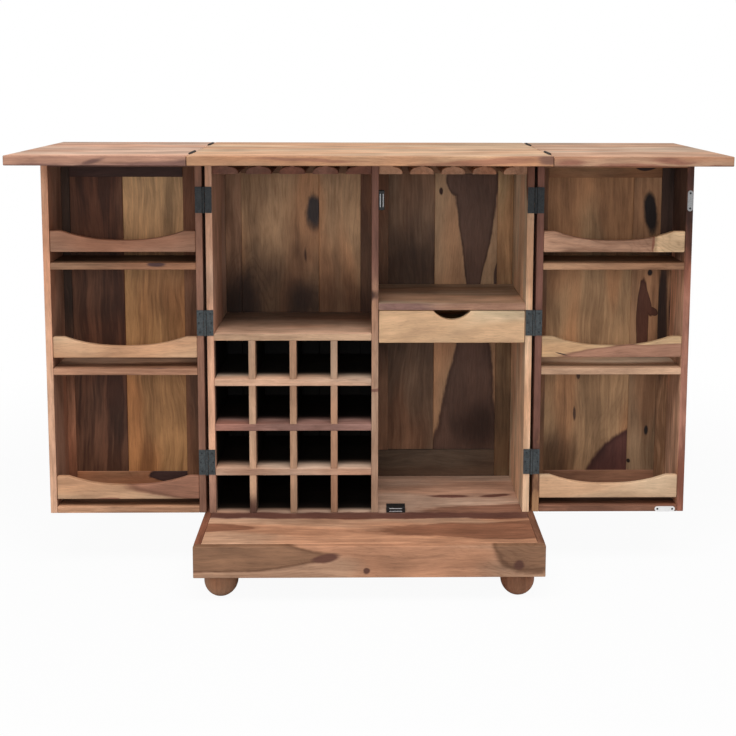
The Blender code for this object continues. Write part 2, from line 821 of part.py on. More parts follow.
def make_door(side, side_name, width, plank_shares, case_side, materials):
    wood = materials["case_wood"]
    axis = make_axis(side_name + "_door_axis", (side * hinge_axis_x, hinge_axis_y, door_bottom))
    inner = side * (case_half + door_gap)
    outer = inner + side * width
    tray_y = (case_front, case_front + door_tray_depth)
    tray_z = (door_bottom, door_top)
    prefix = side_name + "_door_"
    hinge_side = make_board(prefix + "hinge_side", span(inner, inner + side * board), tray_y, tray_z, wood,
                            axis)
    make_board(prefix + "outer_side", span(outer, outer - side * board), tray_y, tray_z, wood, axis)
    between = shrink(span(inner, outer), board + fit_gap)
    make_board(prefix + "bottom", between, tray_y, (door_bottom, door_bottom + board), wood, axis)
    make_board(prefix + "top", between, tray_y, (door_top - board, door_top), wood, axis)
    shelf_tops = (door_bottom + door_upper_shelf_share * door_height,
                  door_bottom + door_lower_shelf_share * door_height)
    for name, shelf_top in zip(("upper_shelf", "lower_shelf"), shelf_tops):
        make_board(prefix + name, between, tray_y, (shelf_top - board, shelf_top), wood, axis)
    guard_rows = [(name, shelf_top + guard_slot, guard_height)
                  for name, shelf_top in zip(("upper_guard", "middle_guard"), shelf_tops)]
    guard_rows.append(("bottom_guard", door_bottom + board + bottom_guard_slot, bottom_guard_height))
    guard_y = (case_front + guard_setback, case_front + guard_setback + guard_thickness)
    for name, bottom, height in guard_rows:
        mesh = bmesh.new()
        add_prism(mesh, guard_outline(between, bottom, height), along_y, guard_y)
        make_object(prefix + name, mesh, wood, axis, rounding=edge_round, segments=1)
    leaf_x = span(inner, outer)
    hinge_stile, outer_stile = door_stiles(side)
    window = (span(inner + side * hinge_stile, outer - side * outer_stile),
              (tray_z[0] + door_bottom_rail, tray_z[1] - door_top_rail))
    shares = plank_shares if side > 0 else tuple(reversed(plank_shares))
    make_framed_panel(prefix + "frame", (prefix + "panel",), leaf_x, (door_leaf_front, door_leaf_back),
                      tray_z, [window], (shares,), materials, axis)
    fit_door_hinges(case_side, side, False, materials)
    fit_door_hinges(hinge_side, side, True, materials, axis)
    make_knob(side, prefix + "knob", outer, materials, axis)
    return axis, outer


def knob_profile():
    stations = (
        (knob_base_radius, 0),
        (knob_base_radius, knob_base_share),
        (knob_neck_radius, knob_neck_share),
        (knob_head_radius, knob_bulge_share),
        (knob_head_radius * knob_face_share, 1),
    )
    profile = [(0, 0)]
    profile += [(radius, share * knob_length) for radius, share in stations]
    profile.append((0, knob_length))
    return profile


def make_knob(side, name, outer, materials, parent):
    x = outer - side * (board + door_stiles(side)[1]) / 2
    start = door_leaf_back + fit_gap
    height = door_bottom + knob_height_share * door_height
    mesh = bmesh.new()
    add_turned(mesh, knob_profile(), lambda u, v, w: (x + u, start + w, height + v), knob_segments)
    make_object(name, mesh, materials["iron"], parent, smooth=True)


def make_closing_strip(outer, materials, parent):
    # The part beyond the door's edge is relieved so that it clears the other door
    near = door_leaf_back + fit_gap
    far = near + strip_thickness
    end = outer + strip_overhang
    start = end - strip_width
    step = outer + strip_relief_start
    outline = [(start, near), (step, near), (step, near + strip_relief), (end, near + strip_relief),
               (end, far), (start, far)]
    mesh = bmesh.new()
    add_prism(mesh, outline, along_z, shrink((door_bottom, door_top), strip_end_gap))
    make_object("right_door_closing_strip", mesh, materials["case_wood"], parent, rounding=edge_round)


# Magnetic catches on the case and strike plates on the right door

def make_catches(materials):
    plate_face = closed_door_plane + fit_gap + strike_thickness
    pole_front = plate_face + pole_gap
    body_front = pole_front + pole_proud
    body_y = (body_front, body_front + catch_depth)
    pole_y = (pole_front, body_front + join_overlap)
    upper_z = centred(door_bottom + upper_catch_height_share * door_height, catch_length)
    upper_x = (divider_right + fit_gap, divider_right + fit_gap + catch_thickness)
    lower_x = centred(divider_right + lower_catch_offset, catch_length)
    lower_z = (plinth_top + fit_gap, plinth_top + fit_gap + catch_thickness)
    upper_poles = bmesh.new()
    lower_poles = bmesh.new()
    for direction in (-1, 1):
        pole_x = centred(sum(upper_x) / 2 + direction * pole_spacing / 2, pole_thickness)
        add_box(upper_poles, pole_x, pole_y, centred(sum(upper_z) / 2, pole_length))
        pole_z = centred(sum(lower_z) / 2 + direction * pole_spacing / 2, pole_thickness)
        add_box(lower_poles, centred(sum(lower_x) / 2, pole_length), pole_y, pole_z)
    for name, x_limits, z_limits, poles in (("upper_catch", upper_x, upper_z, upper_poles),
                                            ("lower_catch", lower_x, lower_z, lower_poles)):
        catch = make_board(name, x_limits, body_y, z_limits, materials["plastic"], rounding=catch_round)
        fuse(catch, make_hidden(name + "_poles", poles, materials["steel"]))
    return sum(upper_z) / 2, sum(lower_x) / 2


def strike_outline():
    # A bar with half-round ends, lengthwise along u
    radius = strike_width / 2
    reach = strike_length / 2 - radius
    points = []
    for end, start_angle in ((1, -math.pi / 2), (-1, math.pi / 2)):
        for index in range(strike_segments + 1):
            angle = start_angle + math.pi * index / strike_segments
            points.append((end * reach + radius * math.cos(angle), radius * math.sin(angle)))
    return points


def make_strike_plates(outer, catch_places, materials, parent):
    upper_height, lower_catch_x = catch_places
    y_limits = (case_front - fit_gap - strike_thickness, case_front - fit_gap)
    upper_x = outer - board / 2
    lower_x = 2 * hinge_axis_x - lower_catch_x
    lower_z = door_bottom + lower_strike_height
    upright = [(upper_x + v, upper_height + u) for u, v in strike_outline()]
    level = [(lower_x + u, lower_z + v) for u, v in strike_outline()]
    for name, outline in (("right_door_upper_strike_plate", upright), ("right_door_lower_strike_plate", level)):
        mesh = bmesh.new()
        add_prism(mesh, outline, along_y, y_limits)
        make_object(name, mesh, materials["steel"], parent)


def clear_scene():
    for existing in list(bpy.data.objects):
        bpy.data.objects.remove(existing)


def main():
    clear_scene()
    materials = make_materials()
    make_feet(materials)
    make_plinth(materials)
    left_side, right_side, divider = make_case_boards(materials)
    make_bottle_grid(materials)
    make_case_back(materials)
    make_top(materials)
    make_drawer(materials, divider, right_side)
    catch_places = make_catches(materials)
    make_door(-1, "left", left_door_width, left_door_plank_shares, left_side, materials)
    right_axis, right_outer = make_door(1, "right", right_door_width, right_door_plank_shares, right_side,
                                        materials)
    make_closing_strip(right_outer, materials, right_axis)
    make_strike_plates(right_outer, catch_places, materials, right_axis)
    make_flap(-1, "left", materials)
    make_flap(1, "right", materials)


main()
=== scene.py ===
# Fold-out bar cabinet in oiled rosewood, standing open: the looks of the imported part
# metres, +Z up, the open front faces -Y

import math

import bmesh
import bpy
from mathutils import Matrix, Vector


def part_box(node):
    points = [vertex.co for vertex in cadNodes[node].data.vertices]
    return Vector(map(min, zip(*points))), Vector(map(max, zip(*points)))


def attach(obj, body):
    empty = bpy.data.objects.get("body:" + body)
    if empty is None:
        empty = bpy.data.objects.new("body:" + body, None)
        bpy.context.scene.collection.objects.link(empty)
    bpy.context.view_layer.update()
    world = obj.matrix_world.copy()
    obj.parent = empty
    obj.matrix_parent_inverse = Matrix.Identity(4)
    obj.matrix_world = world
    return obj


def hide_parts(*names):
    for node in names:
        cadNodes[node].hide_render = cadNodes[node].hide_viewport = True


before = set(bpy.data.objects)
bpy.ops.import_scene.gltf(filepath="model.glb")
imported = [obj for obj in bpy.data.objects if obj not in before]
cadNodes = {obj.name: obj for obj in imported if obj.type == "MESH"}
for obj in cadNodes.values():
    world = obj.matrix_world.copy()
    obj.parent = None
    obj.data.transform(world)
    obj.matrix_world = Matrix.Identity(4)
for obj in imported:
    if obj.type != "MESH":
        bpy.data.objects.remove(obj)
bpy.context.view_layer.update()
bothSides = ((-1, "left"), (1, "right"))
print("frame loaded,", len(cadNodes), "nodes")


# small helpers for node trees

def paint(red, green, blue):
    # a colour as it shows on screen, 0 to 255, turned into Blender's linear colour
    linear = []
    for value in (red, green, blue):
        share = value / 255
        linear.append(share / 12.92 if share <= 0.04045 else ((share + 0.055) / 1.055) ** 2.4)
    return (*linear, 1.0)


def scaled(colour, factor):
    return tuple(min(1.0, value * factor) for value in colour[:3]) + (1.0,)


def setSocket(tree, socket, value):
    # another node's output is linked, anything else is set
    if isinstance(value, bpy.types.NodeSocket):
        tree.links.new(value, socket)
    else:
        socket.default_value = value


def fill(tree, node, values):
    for socket, value in values.items():
        setSocket(tree, node.inputs[socket], value)


def addNode(tree, kind, inputs=None, **settings):
    node = tree.nodes.new("ShaderNode" + kind)
    for key, value in settings.items():
        setattr(node, key, value)
    fill(tree, node, inputs or {})
    return node


def apart(tree, vector):
    return addNode(tree, "SeparateXYZ", {0: vector}).outputs


def together(tree, x, y, z):
    return addNode(tree, "CombineXYZ", {0: x, 1: y, 2: z}).outputs[0]


def calc(tree, operation, first, second=0.0, third=0.0):
    return addNode(tree, "Math", {0: first, 1: second, 2: third}, operation=operation).outputs[0]


def swing(tree, value, amount, onto):
    # a noise goes up and down about a half: that swing, times an amount, onto another value
    return calc(tree, "MULTIPLY_ADD", calc(tree, "SUBTRACT", value, 0.5), amount, onto)


def remap(tree, value, fromLow, fromHigh, toLow=0.0, toHigh=1.0):
    limits = {"Value": value, "From Min": fromLow, "From Max": fromHigh, "To Min": toLow, "To Max": toHigh}
    return addNode(tree, "MapRange", limits, interpolation_type="SMOOTHSTEP").outputs["Result"]


def blendColour(tree, factor, first, second, mode="MIX"):
    node = addNode(tree, "Mix", data_type="RGBA", blend_type=mode)
    sockets = [socket for socket in node.inputs if socket.type == "RGBA"]
    for socket, value in ((node.inputs[0], factor), (sockets[0], first), (sockets[1], second)):
        setSocket(tree, socket, value)
    return [socket for socket in node.outputs if socket.type == "RGBA"][0]


def tinted(tree, colour, tint):
    return blendColour(tree, 1.0, colour, (*tint, 1.0), "MULTIPLY")


def grainNoise(tree, place, seed, along, across, detail=2.0, roughness=0.5):
    # noise drawn out along the grain
    x, y, z = apart(tree, place)
    drawn = together(tree, calc(tree, "MULTIPLY_ADD", x, along, seed), calc(tree, "MULTIPLY", y, across),
                     calc(tree, "MULTIPLY_ADD", z, across, seed))
    return addNode(tree, "TexNoise", {"Vector": drawn, "Scale": 1.0, "Detail": detail,
                                      "Roughness": roughness}).outputs[0]


def newGroup(name, inputs, outputs):
    # inputs and outputs are listed by the kind of their sockets
    tree = bpy.data.node_groups.new(name, "ShaderNodeTree")
    for direction, sockets in (("INPUT", inputs), ("OUTPUT", outputs)):
        for kind, names in sockets.items():
            for socketName in names.split():
                tree.interface.new_socket(name=socketName, in_out=direction, socket_type="NodeSocket" + kind)
    return tree, tree.nodes.new("NodeGroupInput").outputs, tree.nodes.new("NodeGroupOutput").inputs


# rosewood: grain that wanders, figure placed board by board, and the colour

rosewood = {
    # each noise is how fast it changes along and across the grain, then its detail and roughness
    "slow": (3.5, 7.0), "slowShift": 0.050, "quick": (14.0, 40.0, 3.0), "quickShift": 0.006,
    "alongShare": 0.8,
    "noises": {"broad": (2.6, 17.0, 3.0, 0.55), "streak": (6.0, 110.0, 2.0, 0.6),
               "fibre": (30.0, 420.0, 2.0, 0.6), "pore": (60.0, 800.0, 1.0), "patch": (2.2, 9.0, 1.0),
               "cloud": (7.0, 13.0, 2.0, 0.6), "ragged": (15.0, 34.0, 3.0, 0.62)},
    "toneSwing": {"broad": 2.6, "streak": 1.4}, "toneMost": 1.25,
    "outlineSwing": {"ragged": 0.30, "broad": 0.16, "streak": 0.07},
    "light": (1.28, 1.26, 1.22), "dark": (0.50, 0.44, 0.40), "warm": (1.04, 0.88, 0.80),
    "warmPatch": (0.44, 0.60),
    "heartLight": (1.25, 1.2, 1.16), "heartDark": (0.55, 0.52, 0.50),
    "rimAt": 0.53, "rimWidth": 0.035, "rimFade": (0.05, 0.20, 0.65, 0.0),
    "depthPhase": 30.0, "broadPhase": 6.0, "figurePhase": 7.0, "knotPhase": 9.0, "ringSharpness": 4.0,
    "ringPatch": (0.62, 0.38, 0.3, 1.0), "ringCloud": (0.35, 0.60, 0.2, 1.0), "ring": (0.60, 0.52, 0.46),
    "knotSwing": 0.5, "knotEdge": (0.37, 0.66),
    "shadeSwing": 0.35, "shadeLeast": 0.001, "shadeEdge": (0.25, 0.85), "shadeTint": (0.30, 0.26, 0.245),
    "poreEdge": (0.58, 0.70), "poreShade": -0.16, "poreDepth": -0.7, "fibreShade": 0.50, "cloudShade": -0.9,
    "roughness": (0.3, 0.7, 0.62, 0.48), "specular": 0.25, "bump": {"Strength": 0.22, "Distance": 0.0004},
    "seedStep": 7.3, "jointHalf": 0.0004,
}


def makeGrainGroup():
    tree, given, result = newGroup("grainLines", {"Vector": "Place", "Float": "Seed Wander Slant Level"},
                                   {"Vector": "Grain"})
    place = given["Place"]
    # below a board's level the lines lean, so its edge doesn't show the same figure as its face
    sunk = calc(tree, "SUBTRACT", apart(tree, place)[2], given["Level"])
    sunk = calc(tree, "MULTIPLY", sunk, given["Slant"])
    shift = 0.0
    for kind in ("slow", "quick"):
        wave = grainNoise(tree, place, given["Seed"], *rosewood[kind])
        shift = swing(tree, wave, rosewood[kind + "Shift"], shift)
    shift = calc(tree, "MULTIPLY", shift, given["Wander"])
    moved = together(tree, calc(tree, "MULTIPLY", shift, rosewood["alongShare"]),
                     calc(tree, "ADD", shift, sunk), 0.0)
    added = addNode(tree, "VectorMath", {0: place, 1: moved}, operation="ADD")
    tree.links.new(added.outputs[0], result["Grain"])
    return tree


def makeFigureGroup():
    # a tongue, knot or dark heart: 1 in its middle, a half on its outline, 0 well outside
    tree, given, result = newGroup(
        "figure", {"Vector": "Grain Middle", "Float": "Before Length Width Lean Taper"}, {"Float": "Field"})
    narrowest = 0.12
    away = addNode(tree, "VectorMath", {0: given["Grain"], 1: given["Middle"]}, operation="SUBTRACT")
    parts = apart(tree, away.outputs[0])
    along = calc(tree, "DIVIDE", parts[0], given["Length"])
    leaned = calc(tree, "SUBTRACT", parts[1], calc(tree, "MULTIPLY", parts[0], given["Lean"]))
    wide = calc(tree, "MAXIMUM", calc(tree, "MULTIPLY_ADD", along, given["Taper"], 1.0), narrowest)
    across = calc(tree, "DIVIDE", leaned, calc(tree, "MULTIPLY", wide, given["Width"]))
    reach = calc(tree, "SQRT", calc(tree, "ADD", calc(tree, "MULTIPLY", along, along),
                                    calc(tree, "MULTIPLY", across, across)))
    field = calc(tree, "MAXIMUM", calc(tree, "MULTIPLY_ADD", reach, -0.5, 1.0), given["Before"])
    tree.links.new(field, result["Field"])
    return tree


def makeRosewoodGroup():
    tree, given, result = newGroup(
        "rosewood",
        {"Vector": "Grain", "Color": "Base Heart KnotColour",
         "Float": "Figure Knot Smoke Seed Contrast Lines LineDensity Edge Ragged"},
        {"Color": "Color", "Float": "Roughness Height"})
    parts = apart(tree, given["Grain"])
    waves = {name: grainNoise(tree, given["Grain"], given["Seed"], *setting)
             for name, setting in rosewood["noises"].items()}

    def swings(start, amounts):
        for name, amount in amounts.items():
            start = swing(tree, waves[name], amount, start)
        return start

    def times(first, second):
        return calc(tree, "MULTIPLY", first, second)
    tone = remap(tree, swings(0.5, rosewood["toneSwing"]), 0.0, 1.0, 0.0, rosewood["toneMost"])
    tone = times(tone, given["Contrast"])
    colour = blendColour(tree, tone, tinted(tree, given["Base"], rosewood["light"]),
                         tinted(tree, given["Base"], rosewood["dark"]))
    colour = blendColour(tree, remap(tree, waves["patch"], *rosewood["warmPatch"]), colour,
                         tinted(tree, colour, rosewood["warm"]))
    # heartwood has a ragged outline with a thin darker rim, and its own streaks
    loose = swings(0.0, rosewood["outlineSwing"])
    loose = calc(tree, "MULTIPLY_ADD", loose, given["Ragged"], given["Figure"])
    heart = blendColour(tree, tone, tinted(tree, given["Heart"], rosewood["heartLight"]),
                        tinted(tree, given["Heart"], rosewood["heartDark"]))
    low, high = (calc(tree, operation, 0.5, given["Edge"]) for operation in ("SUBTRACT", "ADD"))
    colour = blendColour(tree, remap(tree, loose, low, high), colour, heart)
    rim = calc(tree, "DIVIDE", calc(tree, "SUBTRACT", loose, rosewood["rimAt"]), rosewood["rimWidth"])
    rim = calc(tree, "EXPONENT", times(times(rim, rim), -1.0))
    rim = times(rim, remap(tree, given["Edge"], *rosewood["rimFade"]))
    colour = blendColour(tree, rim, colour, tinted(tree, colour, rosewood["dark"]))
    # growth rings bend round the figure and the knots
    phase = times(parts[1], given["LineDensity"])
    for value, kind in ((parts[2], "depth"), (waves["broad"], "broad"), (given["Figure"], "figure"),
                        (given["Knot"], "knot")):
        phase = calc(tree, "MULTIPLY_ADD", value, rosewood[kind + "Phase"], phase)
    wave = calc(tree, "MULTIPLY_ADD", calc(tree, "SINE", times(phase, math.tau)), 0.5, 0.5)
    ring = times(calc(tree, "POWER", wave, rosewood["ringSharpness"]),
                 remap(tree, waves["patch"], *rosewood["ringPatch"]))
    ring = times(ring, remap(tree, waves["cloud"], *rosewood["ringCloud"]))
    colour = blendColour(tree, times(ring, given["Lines"]), colour, tinted(tree, colour, rosewood["ring"]))
    eye = swing(tree, waves["ragged"], rosewood["knotSwing"], given["Knot"])
    colour = blendColour(tree, remap(tree, eye, *rosewood["knotEdge"]), colour, given["KnotColour"])
    # painted shade in cloudy smudges where the smudge figures lie, mostly low in the compartments; then
    # cloudy tone and pores
    smoke = swing(tree, waves["cloud"], rosewood["shadeSwing"], given["Smoke"])
    smoke = times(remap(tree, smoke, *rosewood["shadeEdge"]),
                  calc(tree, "GREATER_THAN", given["Smoke"], rosewood["shadeLeast"]))
    colour = blendColour(tree, smoke, colour, tinted(tree, colour, rosewood["shadeTint"]))
    poreMask = remap(tree, waves["pore"], *rosewood["poreEdge"])
    fine = swing(tree, waves["fibre"], rosewood["fibreShade"], 1.0)
    fine = calc(tree, "MULTIPLY_ADD", poreMask, rosewood["poreShade"], fine)
    fine = swing(tree, waves["cloud"], rosewood["cloudShade"], fine)
    colour = blendColour(tree, 1.0, colour, together(tree, fine, fine, fine), "MULTIPLY")
    height = calc(tree, "MULTIPLY_ADD", poreMask, rosewood["poreDepth"], waves["fibre"])
    tree.links.new(colour, result["Color"])
    tree.links.new(remap(tree, waves["fibre"], *rosewood["roughness"]), result["Roughness"])
    tree.links.new(height, result["Height"])
    return tree


grainGroup = makeGrainGroup()
figureGroup = makeFigureGroup()
rosewoodGroup = makeRosewoodGroup()


def addFigures(tree, grain, marks):
    # each mark is along, across, half length, half width, then lean and taper where it has them
    field = 0.0
    for along, across, *shape in marks:
        oval = {"Grain": grain, "Before": field, "Middle": (along, across, 0.0)}
        oval.update(zip(("Length", "Width", "Lean", "Taper"), shape))
        field = addNode(tree, "Group", oval, node_tree=figureGroup).outputs["Field"]
    return field


def look(grain, seed, base, contrast=0.70, **more):
    # how a board looks: the axes along it and across its face, its cut, its colour, the contrast of its
    # grain, and what else it has
    return dict(grain=grain, seed=seed, base=base, contrast=contrast, **more)


def shadeZone(left, right, bottom, top, strength=0.98, full=-0.012):
    # a stretch of x and z given painted shade behind its front edge, fully so at y = full
    return (left, right), (bottom, top), strength, full


def startMaterial(name):
    material = bpy.data.materials.new(name)
    material.use_nodes = True
    tree = material.node_tree
    spot = addNode(tree, "TexCoord").outputs["Object"]
    return material, tree, tree.nodes["Principled BSDF"], spot


def woodMaterial(name, grain, seed, base, contrast, heart=(84, 58, 46), knot=(58, 34, 26), lines=0.40,
                 lineDensity=55.0, wander=1.0, edge=0.05, ragged=1.0, figures=(), knots=(), smoke=(),
                 tint=None, joint=-0.0490, stain=(), stainFront=-0.044, stainBack=0.214, slant=0.0,
                 level=0.0):
    material, tree, shader, spot = startMaterial(name)
    parts = apart(tree, spot)
    along, across = ("xyz".index(letter) for letter in grain)
    place = together(tree, parts[along], parts[across], parts[3 - along - across])
    flow = addNode(tree, "Group", {"Place": place, "Seed": seed, "Wander": wander, "Slant": slant,
                                   "Level": level}, node_tree=grainGroup).outputs["Grain"]
    # the soft dark smudge figures are painted shade, not colour of the wood
    wood = addNode(tree, "Group", {
        "Grain": flow, "Figure": addFigures(tree, flow, figures), "Knot": addFigures(tree, flow, knots),
        "Smoke": addFigures(tree, flow, smoke), "Base": paint(*base), "Heart": paint(*heart),
        "KnotColour": paint(*knot), "Seed": seed * rosewood["seedStep"], "Contrast": contrast, "Lines": lines,
        "LineDensity": lineDensity, "Edge": edge, "Ragged": ragged}, node_tree=rosewoodGroup).outputs
    colour = wood["Color"]
    if tint:
        # behind this line the colour is multiplied by the tint: on the tops, shelves and sides this is
        # painted light and shade, the upper or inner face lighter or darker than the front edge; on the
        # plinth top it changes the colour across the board
        side = remap(tree, parts[across], joint - rosewood["jointHalf"], joint + rosewood["jointHalf"])
        colour = blendColour(tree, side, colour, tinted(tree, colour, tint))
    for xs, zs, strength, full in stain:
        # painted shade: bottle cells are painted near black inside and other shelves painted darker towards
        # the back, where shade falls;
        # the painted shade never reaches the outside of a back or a door
        inside = remap(tree, parts[1], stainFront, full, 0.0, strength)
        inside = calc(tree, "MULTIPLY", inside, calc(tree, "LESS_THAN", parts[1], stainBack))
        for axis, (low, high) in ((0, xs), (2, zs)):
            inside = calc(tree, "MULTIPLY", inside, calc(tree, "GREATER_THAN", parts[axis], low))
            inside = calc(tree, "MULTIPLY", inside, calc(tree, "LESS_THAN", parts[axis], high))
        colour = blendColour(tree, inside, colour, (0.0, 0.0, 0.0, 1.0))
    bump = addNode(tree, "Bump", {**rosewood["bump"], "Height": wood["Height"]}).outputs[0]
    fill(tree, shader, {"Base Color": colour, "Roughness": wood["Roughness"], "Normal": bump,
                        "Specular IOR Level": rosewood["specular"]})
    return material


def woodSet(prefix, looks):
    return [woodMaterial(prefix + part[0].upper() + part[1:], **look) for part, look in looks.items()]


metalSurface = {
    "coarseDetail": 3.0, "finer": 9, "fineDetail": 2.0, "mottleEdge": (0.35, 0.65), "wornEdge": (0.3, 0.7),
    "smoother": 0.07, "rougher": 0.09, "bump": {"Strength": 0.12, "Distance": 0.0002},
}


def metalMaterial(name, colour, roughness, metallic, mottle, scale):
    material, tree, shader, spot = startMaterial(name)
    coarse, fine = (addNode(tree, "TexNoise", {"Vector": spot, "Scale": size, "Detail": detail}).outputs[0]
                    for size, detail in ((scale, metalSurface["coarseDetail"]),
                                         (scale * metalSurface["finer"], metalSurface["fineDetail"])))
    bump = addNode(tree, "Bump", {**metalSurface["bump"], "Height": fine}).outputs[0]
    mottled = blendColour(tree, remap(tree, coarse, *metalSurface["mottleEdge"]), scaled(colour, 1 - mottle),
                          scaled(colour, 1 + mottle))
    worn = remap(tree, fine, *metalSurface["wornEdge"], roughness - metalSurface["smoother"],
                 roughness + metalSurface["rougher"])
    fill(tree, shader, {"Base Color": mottled, "Roughness": worn, "Normal": bump, "Metallic": metallic})
    return material


# name, colour, roughness, how metallic, how mottled, and how fine the mottling is
metals = {
    "iron": ("blackIron", (68, 73, 75), 0.50, 0.55, 0.25, 220.0),
    # painted shade: the top hinges sit under the overhanging top
    "ironShaded": ("tarnishedIron", (46, 49, 51), 0.50, 0.55, 0.25, 220.0),
    "ironDark": ("ironRecess", (20, 21, 22), 0.60, 0.4, 0.15, 400.0),
    "flapIron": ("brownedIron", (44, 38, 35), 0.62, 0.3, 0.25, 300.0),
    "steel": ("zincSteel", (205, 205, 206), 0.30, 1.0, 0.07, 300.0),
    "screw": ("screwIron", (44, 47, 50), 0.46, 0.5, 0.20, 500.0),
    "brightSteel": ("polishedSteel", (246, 246, 246), 0.35, 0.6, 0.03, 300.0),
    "pole": ("poleSteel", (190, 190, 192), 0.42, 0.8, 0.10, 300.0),
    "plastic": ("blackPlastic", (15, 15, 16), 0.55, 0.0, 0.20, 350.0),
}
finishes = {key: metalMaterial(name, paint(*colour), *rest) for key, (name, colour, *rest) in metals.items()}
print("materials ready")


# mesh helpers: every shell is closed, and says which material slot it takes

def addShell(mesh, rows, slot):
    faces = [mesh.faces.new(row) for row in rows]
    for face in faces:
        face.material_index = slot
    bmesh.ops.recalc_face_normals(mesh, faces=faces)


def prismShell(mesh, outline, toPoint, ends, slot=0):
    near, far = ([mesh.verts.new(toPoint(u, v, end)) for u, v in outline] for end in ends)
    rows = [near, far[::-1]]
    for index in range(len(outline)):
        after = (index + 1) % len(outline)
        rows.append((near[after], near[index], far[index], far[after]))
    addShell(mesh, rows, slot)


def plainPoint(u, v, w):
    return u, v, w


def uprightPoint(u, v, w):
    return u, w, v


def boxShell(mesh, xs, ys, zs, slot=0):
    outline = [(xs[0], ys[0]), (xs[1], ys[0]), (xs[1], ys[1]), (xs[0], ys[1])]
    prismShell(mesh, outline, plainPoint, zs, slot)


def turnedShell(mesh, profile, toPoint, segments, slot=0):
    # the profile runs from the axis to the axis as (radius, height)
    rings = []
    for radius, height in profile:
        count = 1 if radius == 0 else segments
        rings.append([mesh.verts.new(toPoint(radius * math.cos(math.tau * index / segments),
                                             radius * math.sin(math.tau * index / segments), height))
                      for index in range(count)])
    rows = []
    for lower, upper in zip(rings, rings[1:]):
        for index in range(segments):
            after = (index + 1) % segments
            if len(lower) == 1:
                rows.append((lower[0], upper[after], upper[index]))
            elif len(upper) == 1:
                rows.append((lower[index], lower[after], upper[0]))
            else:
                rows.append((lower[index], lower[after], upper[after], upper[index]))
    addShell(mesh, rows, slot)


def newObject(name, mesh, materials=()):
    data = bpy.data.meshes.new(name)
    mesh.to_mesh(data)
    mesh.free()
    for material in materials:
        data.materials.append(material)
    thing = bpy.data.objects.new(name, data)
    bpy.context.scene.collection.objects.link(thing)
    return thing


def makePiece(name, mesh, materials, body, node=None, rounding=0.0, segments=3):
    piece = newObject(name, mesh, materials)
    piece.data.shade_smooth()
    sharpAngle = math.radians(32)
    if rounding > 0:
        bevel = piece.modifiers.new("softEdges", "BEVEL")
        bevel.width = rounding
        bevel.segments = segments
        bevel.limit_method = "ANGLE"
        bevel.angle_limit = sharpAngle
        bevel.harden_normals = True
    else:
        piece.data.set_sharp_from_angle(angle=sharpAngle)
    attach(piece, body)
    if node:
        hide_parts(node)
    return piece


def mirrored(side, low, high):
    return (min(side * low, side * high), max(side * low, side * high))


def around(middle, size):
    return (middle - size / 2, middle + size / 2)


def boxAndMiddle(node):
    low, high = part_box(node)
    return low, high, [(start + end) / 2 for start, end in zip(low, high)]


# sizes shared by the pieces, as in the CAD

cabinet = {
    "topDepth": 0.500, "topZ": 1.0724, "underTop": 1.0494, "caseInner": 0.391,
    "innerBack": 0.2027, "dividerLeft": 0.0045, "dividerRight": 0.0215, "plinthTop": 0.1439, "board": 0.017,
    "doorBottom": 0.1451, "doorTop": 1.0469, "doorHingeX": 0.412, "doorHingeY": -0.0523,
    "flapHingeX": 0.4206, "flapHingeZ": 1.0728, "clearance": 0.0003,
}
